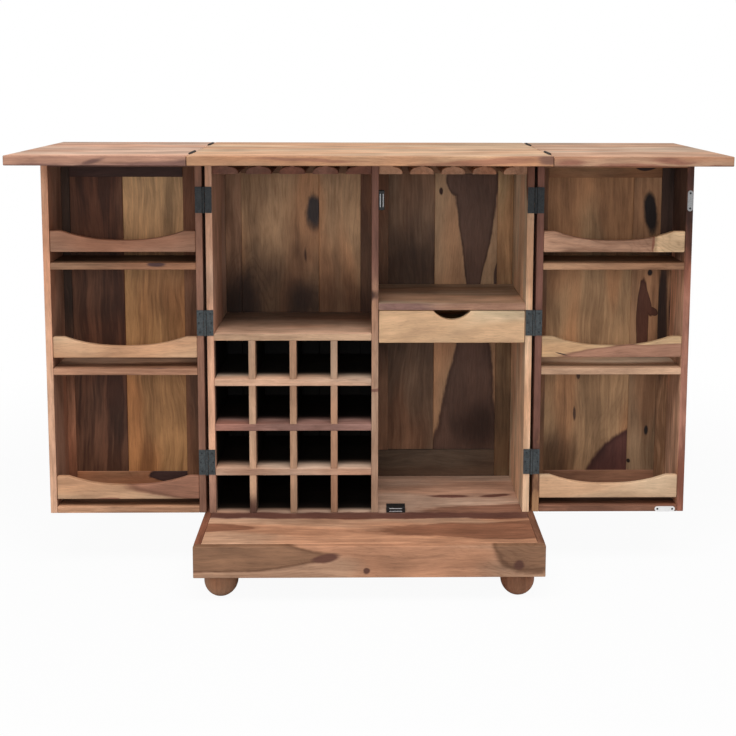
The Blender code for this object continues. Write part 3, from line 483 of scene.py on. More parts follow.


# boards whose CAD shape stays: each gets its own cut of wood

# the bottle grid seen from the front; its shelves and uprights get painted shade, darker further back
bottleGrid = (-0.3914, 0.0049, 0.1435, 0.5932, 0.98)
cellShade, shelfShade, uprightShade = ((shadeZone(*bottleGrid, full),) for full in (-0.012, 0.02, 0.0))
# a tint lifts or darkens the face behind the front edge: painted light and shade on the shelves, sides and
# door sides
boards = {
    "plinth_front": look("xz", 3.2, (164, 129, 105), 0.42, heart=(129, 96, 73), knot=(92, 58, 46),
        edge=0.045, ragged=0.45, lines=0.5, figures=((-0.36, 0.116, 0.275, 0.037, 0.0, -0.25),
        (0.388, 0.15, 0.095, 0.067)), knots=((-0.1064, 0.1104, 0.034, 0.012, 0.15),
        (-0.0053, 0.0864, 0.0085, 0.0065), (0.3605, 0.1011, 0.014, 0.012))),
    "plinth_back": look("xz", 4.7, (170, 124, 96)),
    "plinth_left": look("yz", 5.9, (122, 84, 68)),
    "plinth_right": look("yz", 6.4, (142, 101, 80)),
    "plinth_top": look("xy", 7.7, (188, 151, 125), 0.5, heart=(143, 98, 75), knot=(104, 64, 50), edge=0.1,
        ragged=0.7, figures=((-0.41, -0.147, 0.118, 0.026, 0.0, -0.3), (0.44, -0.156, 0.415, 0.05),
        (0.36, -0.025, 0.2, 0.028, 0.05)), knots=((0.0, -0.064, 1.3, 0.021), (0.21, 0.053, 0.052, 0.011),
        (0.335, 0.058, 0.042, 0.01, 0.1)), tint=(0.96, 1.06, 1.2), joint=-0.085, stain=cellShade),
    "left_side": look("zy", 8.1, (194, 161, 139), 0.5, heart=(160, 122, 104), edge=0.25,
        figures=((0.2, -0.05, 0.07, 0.012),), tint=(0.84, 0.87, 0.94), stain=cellShade),
    "right_side": look("zy", 9.3, (215, 182, 152), 0.5, heart=(118, 78, 62), edge=0.12,
        figures=((1.03, -0.045, 0.08, 0.02),), tint=(1.06, 1.18, 1.25)),
    "divider": look("zy", 10.6, (159, 129, 109), 0.6, heart=(120, 84, 72), edge=0.14,
        figures=((0.92, 0.02, 0.22, 0.14), (0.469, -0.05, 0.004, 0.03)),
        knots=((0.705, -0.045, 0.016, 0.012),), stain=cellShade),
    "left_shelf": look("xy", 11.2, (169, 139, 114), 0.45, heart=(120, 84, 66), tint=(1.8, 1.8, 1.95),
        stain=(shadeZone(-0.3914, 0.0049, 0.1435, 0.5945), shadeZone(-0.3914, 0.0049, 0.5946, 0.62, 0.8, 0.13))),
    "right_shelf": look("xy", 12.8, (162, 134, 116), 0.55, heart=(128, 98, 90), edge=0.2,
        figures=((0.1, -0.05, 0.09, 0.006),), tint=(1.55, 1.75, 1.75),
        stain=(shadeZone(0.02, 0.3914, 0.64, 0.7, 0.4, 0.16),)),
    "bottle_shelf_1": look("xy", 13.5, (175, 146, 127), 0.4, tint=(1.5, 1.6, 1.65), stain=shelfShade),
    "bottle_shelf_2": look("xy", 14.1, (153, 118, 109), 0.6, tint=(1.3, 1.3, 1.3), stain=shelfShade),
    "bottle_shelf_3": look("xy", 15.7, (187, 163, 144), 0.4, tint=(1.4, 1.4, 1.4), stain=shelfShade),
    "bottle_upright_1": look("zy", 16.2, (178, 155, 134), 0.4, heart=(90, 64, 54), edge=0.15,
        figures=((0.155, -0.036, 0.05, 0.012),), stain=uprightShade),
    "bottle_upright_2": look("zy", 17.4, (152, 128, 108), 0.5, stain=uprightShade),
    "bottle_upright_3": look("zy", 18.8, (148, 122, 103), 0.5, stain=uprightShade),
    "drawer_left_side": look("yz", 19.3, (196, 154, 116)),
    "drawer_right_side": look("yz", 20.9, (196, 154, 116)),
    "drawer_back": look("xz", 21.5, (192, 150, 112)),
    "drawer_bottom": look("xy", 22.2, (186, 142, 104)),
    "left_door_hinge_side": look("zy", 23.6, (130, 101, 87), 0.5),
    "left_door_outer_side": look("zy", 24.1, (198, 156, 130), 0.5, tint=(0.5, 0.46, 0.47)),
    "left_door_top": look("xy", 25.8, (96, 66, 56), 0.5),
    "left_door_bottom": look("xy", 26.3, (190, 146, 116), stain=(shadeZone(-0.84, -0.4, 0.1, 0.2, 0.85),)),
    "left_door_upper_shelf": look("xy", 27.7, (146, 112, 88), knot=(84, 58, 56), wander=0.2, slant=1.0,
        level=0.7945, knots=((-0.531, -0.056, 0.023, 0.006),), stain=(shadeZone(-0.84, -0.4, 0.7, 0.83, 0.8),)),
    "left_door_lower_shelf": look("xy", 28.4, (160, 128, 107), knot=(84, 58, 54), wander=0.2, slant=1.0,
        level=0.5259, knots=((-0.533, -0.0515, 0.028, 0.0028),),
        stain=(shadeZone(-0.84, -0.4, 0.4, 0.56, 0.25),)),
    "right_door_hinge_side": look("zy", 29.1, (175, 134, 99), 0.4, heart=(111, 75, 64),
        figures=((0.8, 0.0, 0.56, 0.2),)),
    "right_door_outer_side": look("zy", 30.5, (150, 104, 88), 0.7, heart=(66, 42, 36), edge=0.15,
        figures=((0.97, 0.02, 0.17, 0.09),), tint=(1.9, 2.5, 2.4)),
    "right_door_top": look("xy", 31.2, (150, 108, 82), 0.5),
    "right_door_bottom": look("xy", 32.6, (160, 115, 93), stain=(shadeZone(0.4, 0.84, 0.1, 0.2, 0.9),)),
    "right_door_upper_shelf": look("xy", 33.9, (156, 126, 101), stain=(shadeZone(0.4, 0.84, 0.7, 0.83, 0.65),)),
    "right_door_lower_shelf": look("xy", 34.3, (185, 162, 140), 0.4,
        stain=(shadeZone(0.4, 0.84, 0.4, 0.56, 0.2),)),
    "right_door_closing_strip": look("zx", 35.7, (170, 124, 94)),
}
for node, boardLook in boards.items():
    piece = cadNodes[node]
    material = woodMaterial(node + "Wood", **boardLook)
    if not piece.data.materials:
        piece.data.materials.append(material)
    for slot in piece.material_slots:
        metal = slot.material is not None and slot.material.name.split(".")[0] in ("iron", "steel")
        slot.material = finishes["iron"] if metal else material
print("boards painted,", len(boards))


# centre top, the flaps beside it and the stemware rails under it

tops = {
    "rounding": 0.0022, "notchRadius": 0.0037, "notchLength": 0.0765, "notchSegments": 28,
    "hingeY": 0.155, "centre": (-0.42, 0.42), "flap": (0.4212, 0.8361),
    # each top's tint lightens its upper face against its front edge: painted light
    "looks": {
        "centreTop": look("xy", 0.4, (170, 135, 106), 0.34, heart=(142, 100, 78), knot=(122, 86, 70),
            lines=0.35, edge=0.25, ragged=1.3, slant=1.0, level=1.0724,
            figures=((0.26, -0.266, 0.12, 0.008), (0.1, -0.271, 0.07, 0.004), (-0.15, -0.26, 0.12, 0.003),
            (0.36, -0.255, 0.05, 0.005)), knots=((0.405, -0.264, 0.026, 0.014),), tint=(1.25, 1.39, 1.52),
            joint=-0.2478),
        "leftFlap": look("xy", 1.1, (164, 134, 119), 0.42, heart=(112, 82, 74), lines=0.3, edge=0.28,
            ragged=1.2, slant=1.0, level=1.0724, figures=((-0.635, -0.264, 0.028, 0.006, 0.35),
            (-0.47, -0.271, 0.13, 0.008), (-0.8, -0.272, 0.12, 0.008), (-0.62, -0.274, 0.12, 0.004)),
            tint=(1.42, 1.48, 1.44), joint=-0.2478),
        "rightFlap": look("xy", 2.3, (152, 119, 97), 0.48, heart=(128, 88, 72), lines=0.3, edge=0.28,
            ragged=1.4, slant=1.0, level=1.0724, figures=((0.62, -0.27, 0.1, 0.006),
            (0.7, -0.255, 0.05, 0.005), (0.46, -0.262, 0.035, 0.008), (0.78, -0.27, 0.05, 0.004)),
            tint=(1.47, 1.76, 1.98), joint=-0.2478),
    },
}
stemRails = {
    "looks": {
        "left": look("yx", 40.2, (121, 85, 72), 0.5, heart=(84, 58, 50)),
        "right": look("yx", 42.6, (160, 122, 98), 0.5, heart=(120, 84, 72)),
    },
    "perSide": 5, "slot": 0.019, "drop": 0.0375, "lip": 0.004, "shoulder": 0.0145, "neck": 0.012,
    "front": -0.042, "rounding": 0.0012, "roundSegments": 2, "steps": 10,
}


def cutAway(piece, cutter):
    # cuts the recesses once and keeps the result as the piece's own mesh
    cut = piece.modifiers.new("recess", "BOOLEAN")
    cut.operation = "DIFFERENCE"
    cut.solver = "EXACT"
    cut.object = cutter
    bpy.context.view_layer.update()
    shaped = bpy.data.meshes.new_from_object(piece.evaluated_get(bpy.context.evaluated_depsgraph_get()))
    piece.modifiers.clear()
    piece.data = shaped
    bpy.data.objects.remove(cutter)


def makeTopBoard(name, node, body, xs, sides):
    depth = cabinet["topDepth"] / 2
    mesh = bmesh.new()
    boxShell(mesh, xs, (-depth, depth), (cabinet["underTop"], cabinet["topZ"]))
    notches = bmesh.new()
    for side in sides:
        for end in (-1, 1):
            ends = around(end * tops["hingeY"], tops["notchLength"])
            radius = tops["notchRadius"]
            turnedShell(notches, [(0, ends[0]), (radius, ends[0]), (radius, ends[1]), (0, ends[1])],
                        lambda u, v, w: (side * cabinet["flapHingeX"] + u, w, cabinet["flapHingeZ"] + v),
                        tops["notchSegments"])
    material = woodMaterial(name + "Wood", **tops["looks"][name])
    piece = makePiece(name, mesh, [material], body, node, tops["rounding"])
    cutAway(piece, newObject(name + "Notches", notches))


def railOutline(width, flatLeft, flatRight):
    half = width / 2
    neck = stemRails["neck"] / 2
    lip = stemRails["lip"]
    top = stemRails["drop"]
    curved = [(half, 0.0), (half, lip)]
    for step in range(1, stemRails["steps"] + 1):
        angle = math.pi / 2 * step / stemRails["steps"]
        curved.append((neck + (half - neck) * math.cos(angle), lip + stemRails["shoulder"] * math.sin(angle)))
    curved.append((neck, top))
    flat = [(half, 0.0), (half, top)]
    right = flat if flatRight else curved
    left = flat if flatLeft else curved
    return right + [(-u, v) for u, v in reversed(left)]


def makeStemRails(sideName, low, high):
    mesh = bmesh.new()
    bottom = cabinet["underTop"] - stemRails["drop"]
    count = stemRails["perSide"]
    start = low + cabinet["clearance"]
    width = (high - cabinet["clearance"] - start - (count - 1) * stemRails["slot"]) / count
    for index in range(count):
        middle = start + width / 2 + index * (width + stemRails["slot"])
        outline = [(middle + u, bottom + v) for u, v in railOutline(width, index == 0, index == count - 1)]
        prismShell(mesh, outline, uprightPoint, (stemRails["front"], cabinet["innerBack"]))
    name = sideName + "StemRails"
    material = woodMaterial(name + "Wood", **stemRails["looks"][sideName])
    makePiece(name, mesh, [material], "cabinet", None, stemRails["rounding"],
              stemRails["roundSegments"])


makeTopBoard("centreTop", "top_board", "cabinet", tops["centre"], (-1, 1))
makeTopBoard("leftFlap", "left_flap", "left_flap", (-tops["flap"][1], -tops["flap"][0]), (-1,))
makeTopBoard("rightFlap", "right_flap", "right_flap", tops["flap"], (1,))
makeStemRails("left", -cabinet["caseInner"], cabinet["dividerLeft"])
makeStemRails("right", cabinet["dividerRight"], cabinet["caseInner"])
print("tops and stemware rails")


# framed back of the case and framed leaves of the doors

# on the back and the door leaves, the soft dark smudge figures are painted shade, mostly low in the
# compartments
backFrame = {
    "stile": 0.043, "muntin": 0.076, "rails": (0.076, 0.058), "thickness": (0.203, 0.225),
    "panel": (0.209, 0.219), "groove": 0.0077, "muntinX": 0.013, "rounding": 0.0014, "stainBack": 0.214,
    "shares": ((0.645, 0.355), (0.43, 0.57)),
    "looks": {
        "leftStile": look("zx", 50.1, (146, 112, 88), 0.6, heart=(84, 62, 48), edge=0.3,
            figures=((0.64, -0.362, 0.07, 0.025),), stain=cellShade, smoke=((0.6, -0.37, 0.15, 0.09),)),
        "rightStile": look("zx", 51.2, (164, 136, 102), 0.6, smoke=((0.28, 0.37, 0.34, 0.2),)),
        "muntin": look("zx", 52.4, (116, 86, 66), 0.6, stain=cellShade, smoke=((0.58, 0.0, 0.12, 0.1),)),
        "topRail": look("xz", 53.3, (120, 88, 66), 0.5),
        "bottomRail": look("xz", 54.6, (80, 66, 54), 0.5, stain=cellShade),
    },
    "planks": (
        (look("zx", 55.8, (167, 134, 102), 0.5, heart=(92, 66, 50), knot=(60, 50, 48), edge=0.3, lines=0.5,
            figures=((0.625, -0.34, 0.09, 0.042, 0.0, -0.3), (0.64, -0.185, 0.05, 0.035),
            (0.768, -0.1745, 0.018, 0.003), (0.857, -0.15, 0.022, 0.016)),
            knots=((0.893, -0.149, 0.042, 0.023),), smoke=((0.61, -0.25, 0.19, 0.5),), stain=cellShade),
         look("zx", 56.1, (179, 144, 110), 0.4, smoke=((0.6, -0.08, 0.15, 0.3),), stain=cellShade)),
        (look("zx", 57.9, (130, 103, 82), 0.6, smoke=((0.7, 0.09, 0.175, 0.17),),
            stain=(shadeZone(0.02, 0.4, 0.14, 0.62, 0.28),)),
         look("zx", 58.5, (163, 133, 104), 0.35, heart=(90, 67, 56), edge=0.03, lines=0.2, ragged=0.4,
             figures=((0.85, 0.286, 0.4, 0.0496, 0.0, 1.37), (0.968, 0.254, 0.055, 0.052),
             (0.2, 0.27, 0.5, 0.105, 0.05, -0.77), (0.715, 0.3555, 0.045, 0.011)),
             knots=((0.9378, 0.1875, 0.011, 0.006),), smoke=((0.3, 0.3, 0.08, 0.06),))),
    ),
}


def makePlanks(name, xs, ys, zs, shares, looks, body, node, stainBack):
    # planks glued side by side, with a fine V where they meet
    chamfer = 0.0013
    mesh = bmesh.new()
    place = xs[0]
    for slot, share in enumerate(shares):
        end = place + (xs[1] - xs[0]) * share
        left = chamfer if slot > 0 else 0.0
        right = chamfer if slot < len(shares) - 1 else 0.0
        outline = [(place, ys[0] + left), (place + left, ys[0]), (end - right, ys[0]), (end, ys[0] + right),
                   (end, ys[1] - right), (end - right, ys[1]), (place + left, ys[1]), (place, ys[1] - left)]
        outline = [point for index, point in enumerate(outline) if point != outline[index - 1]]
        prismShell(mesh, outline, plainPoint, zs, slot)
        place = end
    materials = [woodMaterial("%sPlank%d" % (name, number), stainBack=stainBack, **plank)
                 for number, plank in enumerate(looks, start=1)]
    makePiece(name, mesh, materials, body, node)


def makeBackFrame():
    inner = cabinet["caseInner"] - cabinet["clearance"]
    low = cabinet["plinthTop"] + cabinet["clearance"]
    high = cabinet["underTop"] - cabinet["clearance"]
    windowZ = (cabinet["plinthTop"] + backFrame["rails"][0], cabinet["underTop"] - backFrame["rails"][1])
    muntin = around(backFrame["muntinX"], backFrame["muntin"])
    windows = ((-cabinet["caseInner"] + backFrame["stile"], muntin[0]),
               (muntin[1], cabinet["caseInner"] - backFrame["stile"]))
    mesh = bmesh.new()
    ys = backFrame["thickness"]
    boxShell(mesh, (-inner, windows[0][0]), ys, (low, high), 0)
    boxShell(mesh, (windows[1][1], inner), ys, (low, high), 1)
    boxShell(mesh, muntin, ys, (windowZ[0], windowZ[1]), 2)
    boxShell(mesh, (windows[0][0], windows[1][1]), ys, (windowZ[1], high), 3)
    boxShell(mesh, (windows[0][0], windows[1][1]), ys, (low, windowZ[0]), 4)
    makePiece("backFrame", mesh, woodSet("back", backFrame["looks"]), "cabinet", "back_frame",
              backFrame["rounding"])
    groove = backFrame["groove"]
    for index, sideName in enumerate(("left", "right")):
        low, high = windows[index]
        makePlanks(sideName + "BackPlanks", (low - groove, high + groove), backFrame["panel"],
                   (windowZ[0] - groove, windowZ[1] + groove), backFrame["shares"][index],
                   backFrame["planks"][index], "cabinet", sideName + "_back_panel", backFrame["stainBack"])


# painted shadow in the gap under each door's upper guard rail
doorGapShade = {"left": shadeZone(-0.84, -0.4, 0.79, 0.82, 0.5), "right": shadeZone(0.4, 0.84, 0.79, 0.82, 0.6)}
doorFrame = {
    "stiles": {"left": (0.0665, 0.0375), "right": (0.047, 0.047)}, "rails": (0.065, 0.053),
    "thickness": (0.0683, 0.0863), "panel": (0.0723, 0.0823), "groove": 0.0077, "rounding": 0.0014,
    "stainBack": 0.0773, "near": 0.416, "widths": {"left": 0.394968, "right": 0.389004},
    "shares": {"left": (0.468, 0.532), "right": (0.742, 0.258)},
    "looks": {
        "left": {
            "hingeStile": look("zx", 60.1, (112, 76, 54), 0.6),
            "outerStile": look("zx", 61.5, (148, 102, 78), 0.7, heart=(62, 45, 36), edge=0.2,
                figures=((0.86, -0.78, 0.34, 0.09),)),
            "topRail": look("xz", 62.2, (64, 44, 40), 0.5),
            "bottomRail": look("xz", 63.8, (150, 106, 78), 0.35, heart=(66, 44, 40), edge=0.03,
                figures=((-0.515, 0.2, 0.065, 0.022),)),
        },
        "right": {
            "hingeStile": look("zx", 64.4, (124, 90, 66), 0.5),
            "outerStile": look("zx", 65.9, (162, 124, 94), 0.9, heart=(64, 46, 38), lineDensity=90.0,
                edge=0.15, figures=((0.95, 0.78, 0.19, 0.09), (0.62, 0.767, 0.16, 0.0155),
                (0.6, 0.7935, 0.14, 0.0045))),
            "topRail": look("xz", 66.3, (134, 100, 72), 0.4, heart=(52, 36, 32),
                figures=((0.718, 1.027, 0.028, 0.016),)),
            "bottomRail": look("xz", 67.1, (136, 96, 74), 0.6),
        },
    },
    "planks": {
        "left": (
            look("zx", 68.7, (96, 63, 46), 1.0, lines=0.5, lineDensity=80.0, stain=(doorGapShade["left"],)),
            # the light heart near the top of this plank is painted light where the overhanging top casts
            # shade
            look("zx", 69.2, (161, 118, 77), 0.7, heart=(204, 164, 120), lines=0.25, edge=0.45, ragged=0.6,
                figures=((1.02, -0.5, 0.2, 0.4),), stain=(doorGapShade["left"],))),
        "right": (
            look("zx", 70.6, (162, 128, 95), 0.55, heart=(84, 50, 44), knot=(84, 58, 44), edge=0.03,
                ragged=0.35, lines=0.25, figures=((0.205, 0.7, 0.118, 0.124, 0.0, -0.35),),
                knots=((0.4693, 0.5529, 0.01, 0.006), (0.3605, 0.5387, 0.018, 0.004)),
                smoke=((0.235, 0.5, 0.085, 0.06),), stain=(doorGapShade["right"],
                shadeZone(0.586, 0.71, 0.8, 1.0, 0.16))),
            look("zx", 71.4, (152, 122, 94), 0.6, heart=(82, 50, 38), knot=(34, 24, 22), edge=0.03,
                ragged=0.4, lines=0.35, wander=0.5, stain=(doorGapShade["right"],
                shadeZone(0.4, 0.84, 0.1, 0.505, 0.27)), figures=((0.603, 0.7165, 0.13, 0.0165, 0.03),
                (0.676, 0.7265, 0.05, 0.01, -0.25), (0.6415, 0.7415, 0.0125, 0.014, -0.6)),
                knots=((0.897, 0.731, 0.058, 0.017, -0.08), (0.7438, 0.7339, 0.009, 0.006),
                (0.3225, 0.7396, 0.013, 0.006), (0.2367, 0.6919, 0.006, 0.006)))),
    },
}


def makeDoorFrame(side, sideName):
    near = doorFrame["near"]
    far = near + doorFrame["widths"][sideName]
    inner, outer = doorFrame["stiles"][sideName]
    zs = (cabinet["doorBottom"], cabinet["doorTop"])
    windowX = mirrored(side, near + inner, far - outer)
    windowZ = (zs[0] + doorFrame["rails"][0], zs[1] - doorFrame["rails"][1])
    ys = doorFrame["thickness"]
    mesh = bmesh.new()
    boxShell(mesh, mirrored(side, near, near + inner), ys, zs, 0)
    boxShell(mesh, mirrored(side, far - outer, far), ys, zs, 1)
    boxShell(mesh, windowX, ys, (windowZ[1], zs[1]), 2)
    boxShell(mesh, windowX, ys, (zs[0], windowZ[0]), 3)
    makePiece(sideName + "DoorFrame", mesh, woodSet(sideName + "Door", doorFrame["looks"][sideName]),
              sideName + "_door", sideName + "_door_frame", doorFrame["rounding"])
    groove = doorFrame["groove"]
    makePlanks(sideName + "DoorPlanks", (windowX[0] - groove, windowX[1] + groove), doorFrame["panel"],
               (windowZ[0] - groove, windowZ[1] + groove), doorFrame["shares"][sideName],
               doorFrame["planks"][sideName], sideName + "_door", sideName + "_door_panel",
               doorFrame["stainBack"])


makeBackFrame()
for side, sideName in bothSides:
    makeDoorFrame(side, sideName)
print("framed back and door leaves")


# curved guard rails of the door shelves

doorHeight = cabinet["doorTop"] - cabinet["doorBottom"]
guards = {
    "thickness": (-0.049, -0.035), "dip": 0.0235, "shoulder": 0.026, "fullness": 2.4, "easing": 0.05,
    "steps": 72, "rounding": 0.0030,
    "rows": {"upper": (0.7156 * doorHeight + 0.027, 0.0535), "middle": (0.4178 * doorHeight + 0.027, 0.0535),
             "bottom": (0.036, 0.060)},
    "looks": {
        # the upper left guard's darker base is painted shade from the overhanging top
        "leftUpper": look("xz", 80.3, (145, 109, 89), 0.35),
        "leftMiddle": look("xz", 81.6, (177, 146, 118), 0.3),
        "leftBottom": look("xz", 82.2, (174, 144, 117), 0.4, heart=(146, 104, 84), edge=0.06, ragged=0.35,
            figures=((-0.43, 0.225, 0.2, 0.046), (-0.685, 0.172, 0.045, 0.006))),
        "rightUpper": look("xz", 83.8, (188, 147, 122), 0.6, heart=(248, 213, 171), knot=(140, 92, 72),
            edge=0.03, lines=0.5, ragged=0.4, wander=1.6, figures=((0.78, 0.846, 0.067, 0.1),),
            knots=((0.7095, 0.846, 0.003, 0.022),)),
        "rightMiddle": look("xz", 84.1, (178, 149, 116), 0.35, heart=(156, 116, 96), knot=(64, 46, 40),
            edge=0.06, ragged=0.5, figures=((0.7, 0.562, 0.215, 0.016, 0.03),),
            knots=((0.484, 0.5606, 0.016, 0.0018, -0.25),)),
        "rightBottom": look("xz", 85.5, (186, 161, 134), 0.25, lines=0.2),
    },
}


def guardDrop(place):
    # fall of the top edge: place is 0 in the middle and 1 at a shoulder
    depth = 1 - abs(place) ** guards["fullness"]
    ease = guards["easing"]
    return guards["dip"] * (math.sqrt(depth ** 2 + ease ** 2) - ease) / (math.sqrt(1 + ease ** 2) - ease)


def makeGuard(side, sideName, row):
    rise, height = guards["rows"][row]
    bottom = cabinet["doorBottom"] + rise
    near = doorFrame["near"] + cabinet["board"] + cabinet["clearance"]
    far = doorFrame["near"] + doorFrame["widths"][sideName] - cabinet["board"] - cabinet["clearance"]
    xs = mirrored(side, near, far)
    middle = sum(xs) / 2
    half = (xs[1] - xs[0]) / 2 - guards["shoulder"]
    outline = [(xs[1], bottom), (xs[1], bottom + height)]
    for step in range(guards["steps"] + 1):
        place = 1 - 2 * step / guards["steps"]
        outline.append((middle + half * place, bottom + height - guardDrop(place)))
    outline += [(xs[0], bottom + height), (xs[0], bottom)]
    mesh = bmesh.new()
    prismShell(mesh, outline, uprightPoint, guards["thickness"])
    rowName = row.capitalize()
    material = woodMaterial(sideName + rowName + "GuardWood", **guards["looks"][sideName + rowName])
    makePiece("%sDoor%sGuard" % (sideName, rowName), mesh, [material], sideName + "_door",
              "%s_door_%s_guard" % (sideName, row), guards["rounding"])


for side, sideName in bothSides:
    for row in guards["rows"]:
        makeGuard(side, sideName, row)
print("guard rails")


# drawer front with its finger cut

drawerFront = {
    "look": look("xz", 90.4, (187, 165, 136), 0.28, lines=0.3, lineDensity=45.0),
    "cutWidth": 0.094, "cutDepth": 0.0235, "steps": 40, "rounding": 0.0018,
}


def makeDrawerFront():
    low, high, middle = boxAndMiddle("drawer_front")
    half = drawerFront["cutWidth"] / 2
    radius = (half ** 2 + drawerFront["cutDepth"] ** 2) / (2 * drawerFront["cutDepth"])
    centre = high.z + radius - drawerFront["cutDepth"]
    reach = math.asin(half / radius)
    outline = [(low.x, low.z), (high.x, low.z), (high.x, high.z)]
    for step in range(drawerFront["steps"] + 1):
        angle = reach - 2 * reach * step / drawerFront["steps"]
        outline.append((middle[0] + radius * math.sin(angle), centre - radius * math.cos(angle)))
    outline.append((low.x, high.z))
    mesh = bmesh.new()
    prismShell(mesh, outline, uprightPoint, (low.y, high.y))
    makePiece("drawerFront", mesh, [woodMaterial("drawerFrontWood", **drawerFront["look"])], "drawer",
              "drawer_front", drawerFront["rounding"])


makeDrawerFront()
print("drawer front")


# ball feet and knobs

ballFeet = {
    "looks": {"left": look("zx", 95.3, (137, 101, 77), 0.4),
              "right": look("zx", 96.6, (145, 102, 76), 0.5)},
    "rings": 26, "segments": 56, "flatShare": 0.18,
}
knobs = {
    "profile": ((0.0080, 0.0), (0.0080, 0.0020), (0.0070, 0.0034), (0.0056, 0.0070), (0.0054, 0.0100),
                (0.0066, 0.0126), (0.0098, 0.0146), (0.0130, 0.0164), (0.0144, 0.0186), (0.0143, 0.0206),
                (0.0130, 0.0228), (0.0106, 0.0244), (0.0070, 0.0255), (0.0030, 0.0260)),
    "start": 0.0866, "segments": 44,
}


def makeFeet():
    materials = {sideName: woodMaterial(sideName + "FootWood", **footLook)
                 for sideName, footLook in ballFeet["looks"].items()}
    for sideName, rowName in (("left", "front"), ("left", "back"), ("right", "front"), ("right", "back")):
        node = "%s_%s_foot" % (rowName, sideName)
        low, high, middle = boxAndMiddle(node)
        radius = (high.x - low.x) / 2
        flat = ballFeet["flatShare"] * 2 * radius
        centre = math.sqrt(radius ** 2 - flat ** 2)
        start = -math.asin(centre / radius)
        end = math.asin((high.z - centre) / radius)
        profile = [(0.0, 0.0)]
        for ring in range(ballFeet["rings"] + 1):
            angle = start + (end - start) * ring / ballFeet["rings"]
            profile.append((radius * math.cos(angle), centre + radius * math.sin(angle)))
        profile.append((0.0, high.z))
        mesh = bmesh.new()
        turnedShell(mesh, profile, lambda u, v, w: (middle[0] + u, middle[1] + v, w), ballFeet["segments"])
        name = rowName + sideName.capitalize() + "Foot"
        makePiece(name, mesh, [materials[sideName]], "cabinet", node)


def makeKnobs():
    for sideName in ("left", "right"):
        node = sideName + "_door_knob"
        x, y, z = boxAndMiddle(node)[2]
        profile = [(0.0, knobs["profile"][0][1]), *knobs["profile"], (0.0, knobs["profile"][-1][1])]
        mesh = bmesh.new()
        turnedShell(mesh, profile, lambda u, v, w: (x + u, knobs["start"] + w, z + v), knobs["segments"])
        makePiece(sideName + "DoorKnob", mesh, [finishes["iron"]], sideName + "_door", node)


makeFeet()
makeKnobs()
print("feet and knobs")


# iron hinges with their screws, on the fused leaves of the CAD

screwHead = {
    "radius": 0.0027, "proud": 0.00018, "neck": 0.0012, "neckShare": 0.55, "rimBelow": 0.0001,
    "rimShare": 0.96, "rimRise": 0.6, "flatShare": 0.70, "slot": 0.0034, "slotWidth": 0.0006,
    "slotDepth": 0.0005, "slotOver": 0.00004, "segments": 24,
}
hingeFit = {"ease": 0.0002, "over": 0.0002, "nearEnd": 0.001, "knuckleSegments": 32, "pinSegments": 20}
doorHinge = {
    "height": 0.065, "width": 0.0206, "skin": 0.0001, "gap": 0.0005, "sunk": 0.0030, "knuckle": 0.0036,
    "count": 5, "play": 0.0005, "pin": 0.0032, "near": 0.0024, "clear": 0.0005, "notch": 0.0004,
    "heights": [cabinet["doorBottom"] + share * doorHeight for share in (0.1478, 0.5471, 0.8908)],
    "screws": ((0.0130, 0.0235), (0.0158, 0.0), (0.0130, -0.0235)),
}
flapHinge = {
    "length": 0.076, "depth": 0.017, "top": 0.0022, "proud": 0.0003, "sunk": 0.0012, "gap": 0.0006,
    "knuckle": 0.0034, "count": 3, "play": 0.0005, "clear": 0.0004,
    "screws": (-0.027, 0.0, 0.027), "screwDepth": 0.0105,
}


def screwed(plate):
    # a plate's own metal, then its screws and what lies in shadow
    return [finishes[plate], finishes["screw"], finishes["ironDark"]]


def addScrew(mesh, toPoint, u, w, surface, outward):
    # a countersunk head with a cross: u and w lie in the plate, surface and outward run through it
    def place(a, b, c):
        return toPoint(u + a, surface + outward * c, w + b)
    radius, proud, neck = (screwHead[key] for key in ("radius", "proud", "neck"))
    turnedShell(mesh, [(0, -neck), (radius * screwHead["neckShare"], -neck), (radius, -screwHead["rimBelow"]),
                       (radius * screwHead["rimShare"], proud * screwHead["rimRise"]),
                       (radius * screwHead["flatShare"], proud), (0, proud)], place, screwHead["segments"], 1)
    half, thin = screwHead["slot"] / 2, screwHead["slotWidth"] / 2
    cross = [(half, -thin), (half, thin), (thin, thin), (thin, half), (-thin, half), (-thin, thin),
             (-half, thin), (-half, -thin), (-thin, -thin), (-thin, -half), (thin, -half), (thin, -thin)]
    prismShell(mesh, cross, place, (-screwHead["slotDepth"], proud + screwHead["slotOver"]), 2)


def knuckleSpans(hinge, low, high, fixed):
    # the fixed leaf has the first knuckle and every second one after it
    count = hinge["count"]
    half = hinge["play"] / 2
    step = (high - low) / count
    spans = [(low + index * step + (half if index else 0.0),
              low + (index + 1) * step - (half if index < count - 1 else 0.0)) for index in range(count)]
    return spans[0 if fixed else 1::2], spans[1 if fixed else 0::2]


def addKnuckle(mesh, toPoint, radius, low, high):
    # reaches just over the ends of the CAD's knuckles
    ease = hingeFit["ease"]
    low, high = low - hingeFit["over"], high + hingeFit["over"]
    turnedShell(mesh, [(0, low), (radius - ease, low), (radius, low + ease), (radius, high - ease),
                       (radius - ease, high), (0, high)], toPoint, hingeFit["knuckleSegments"])


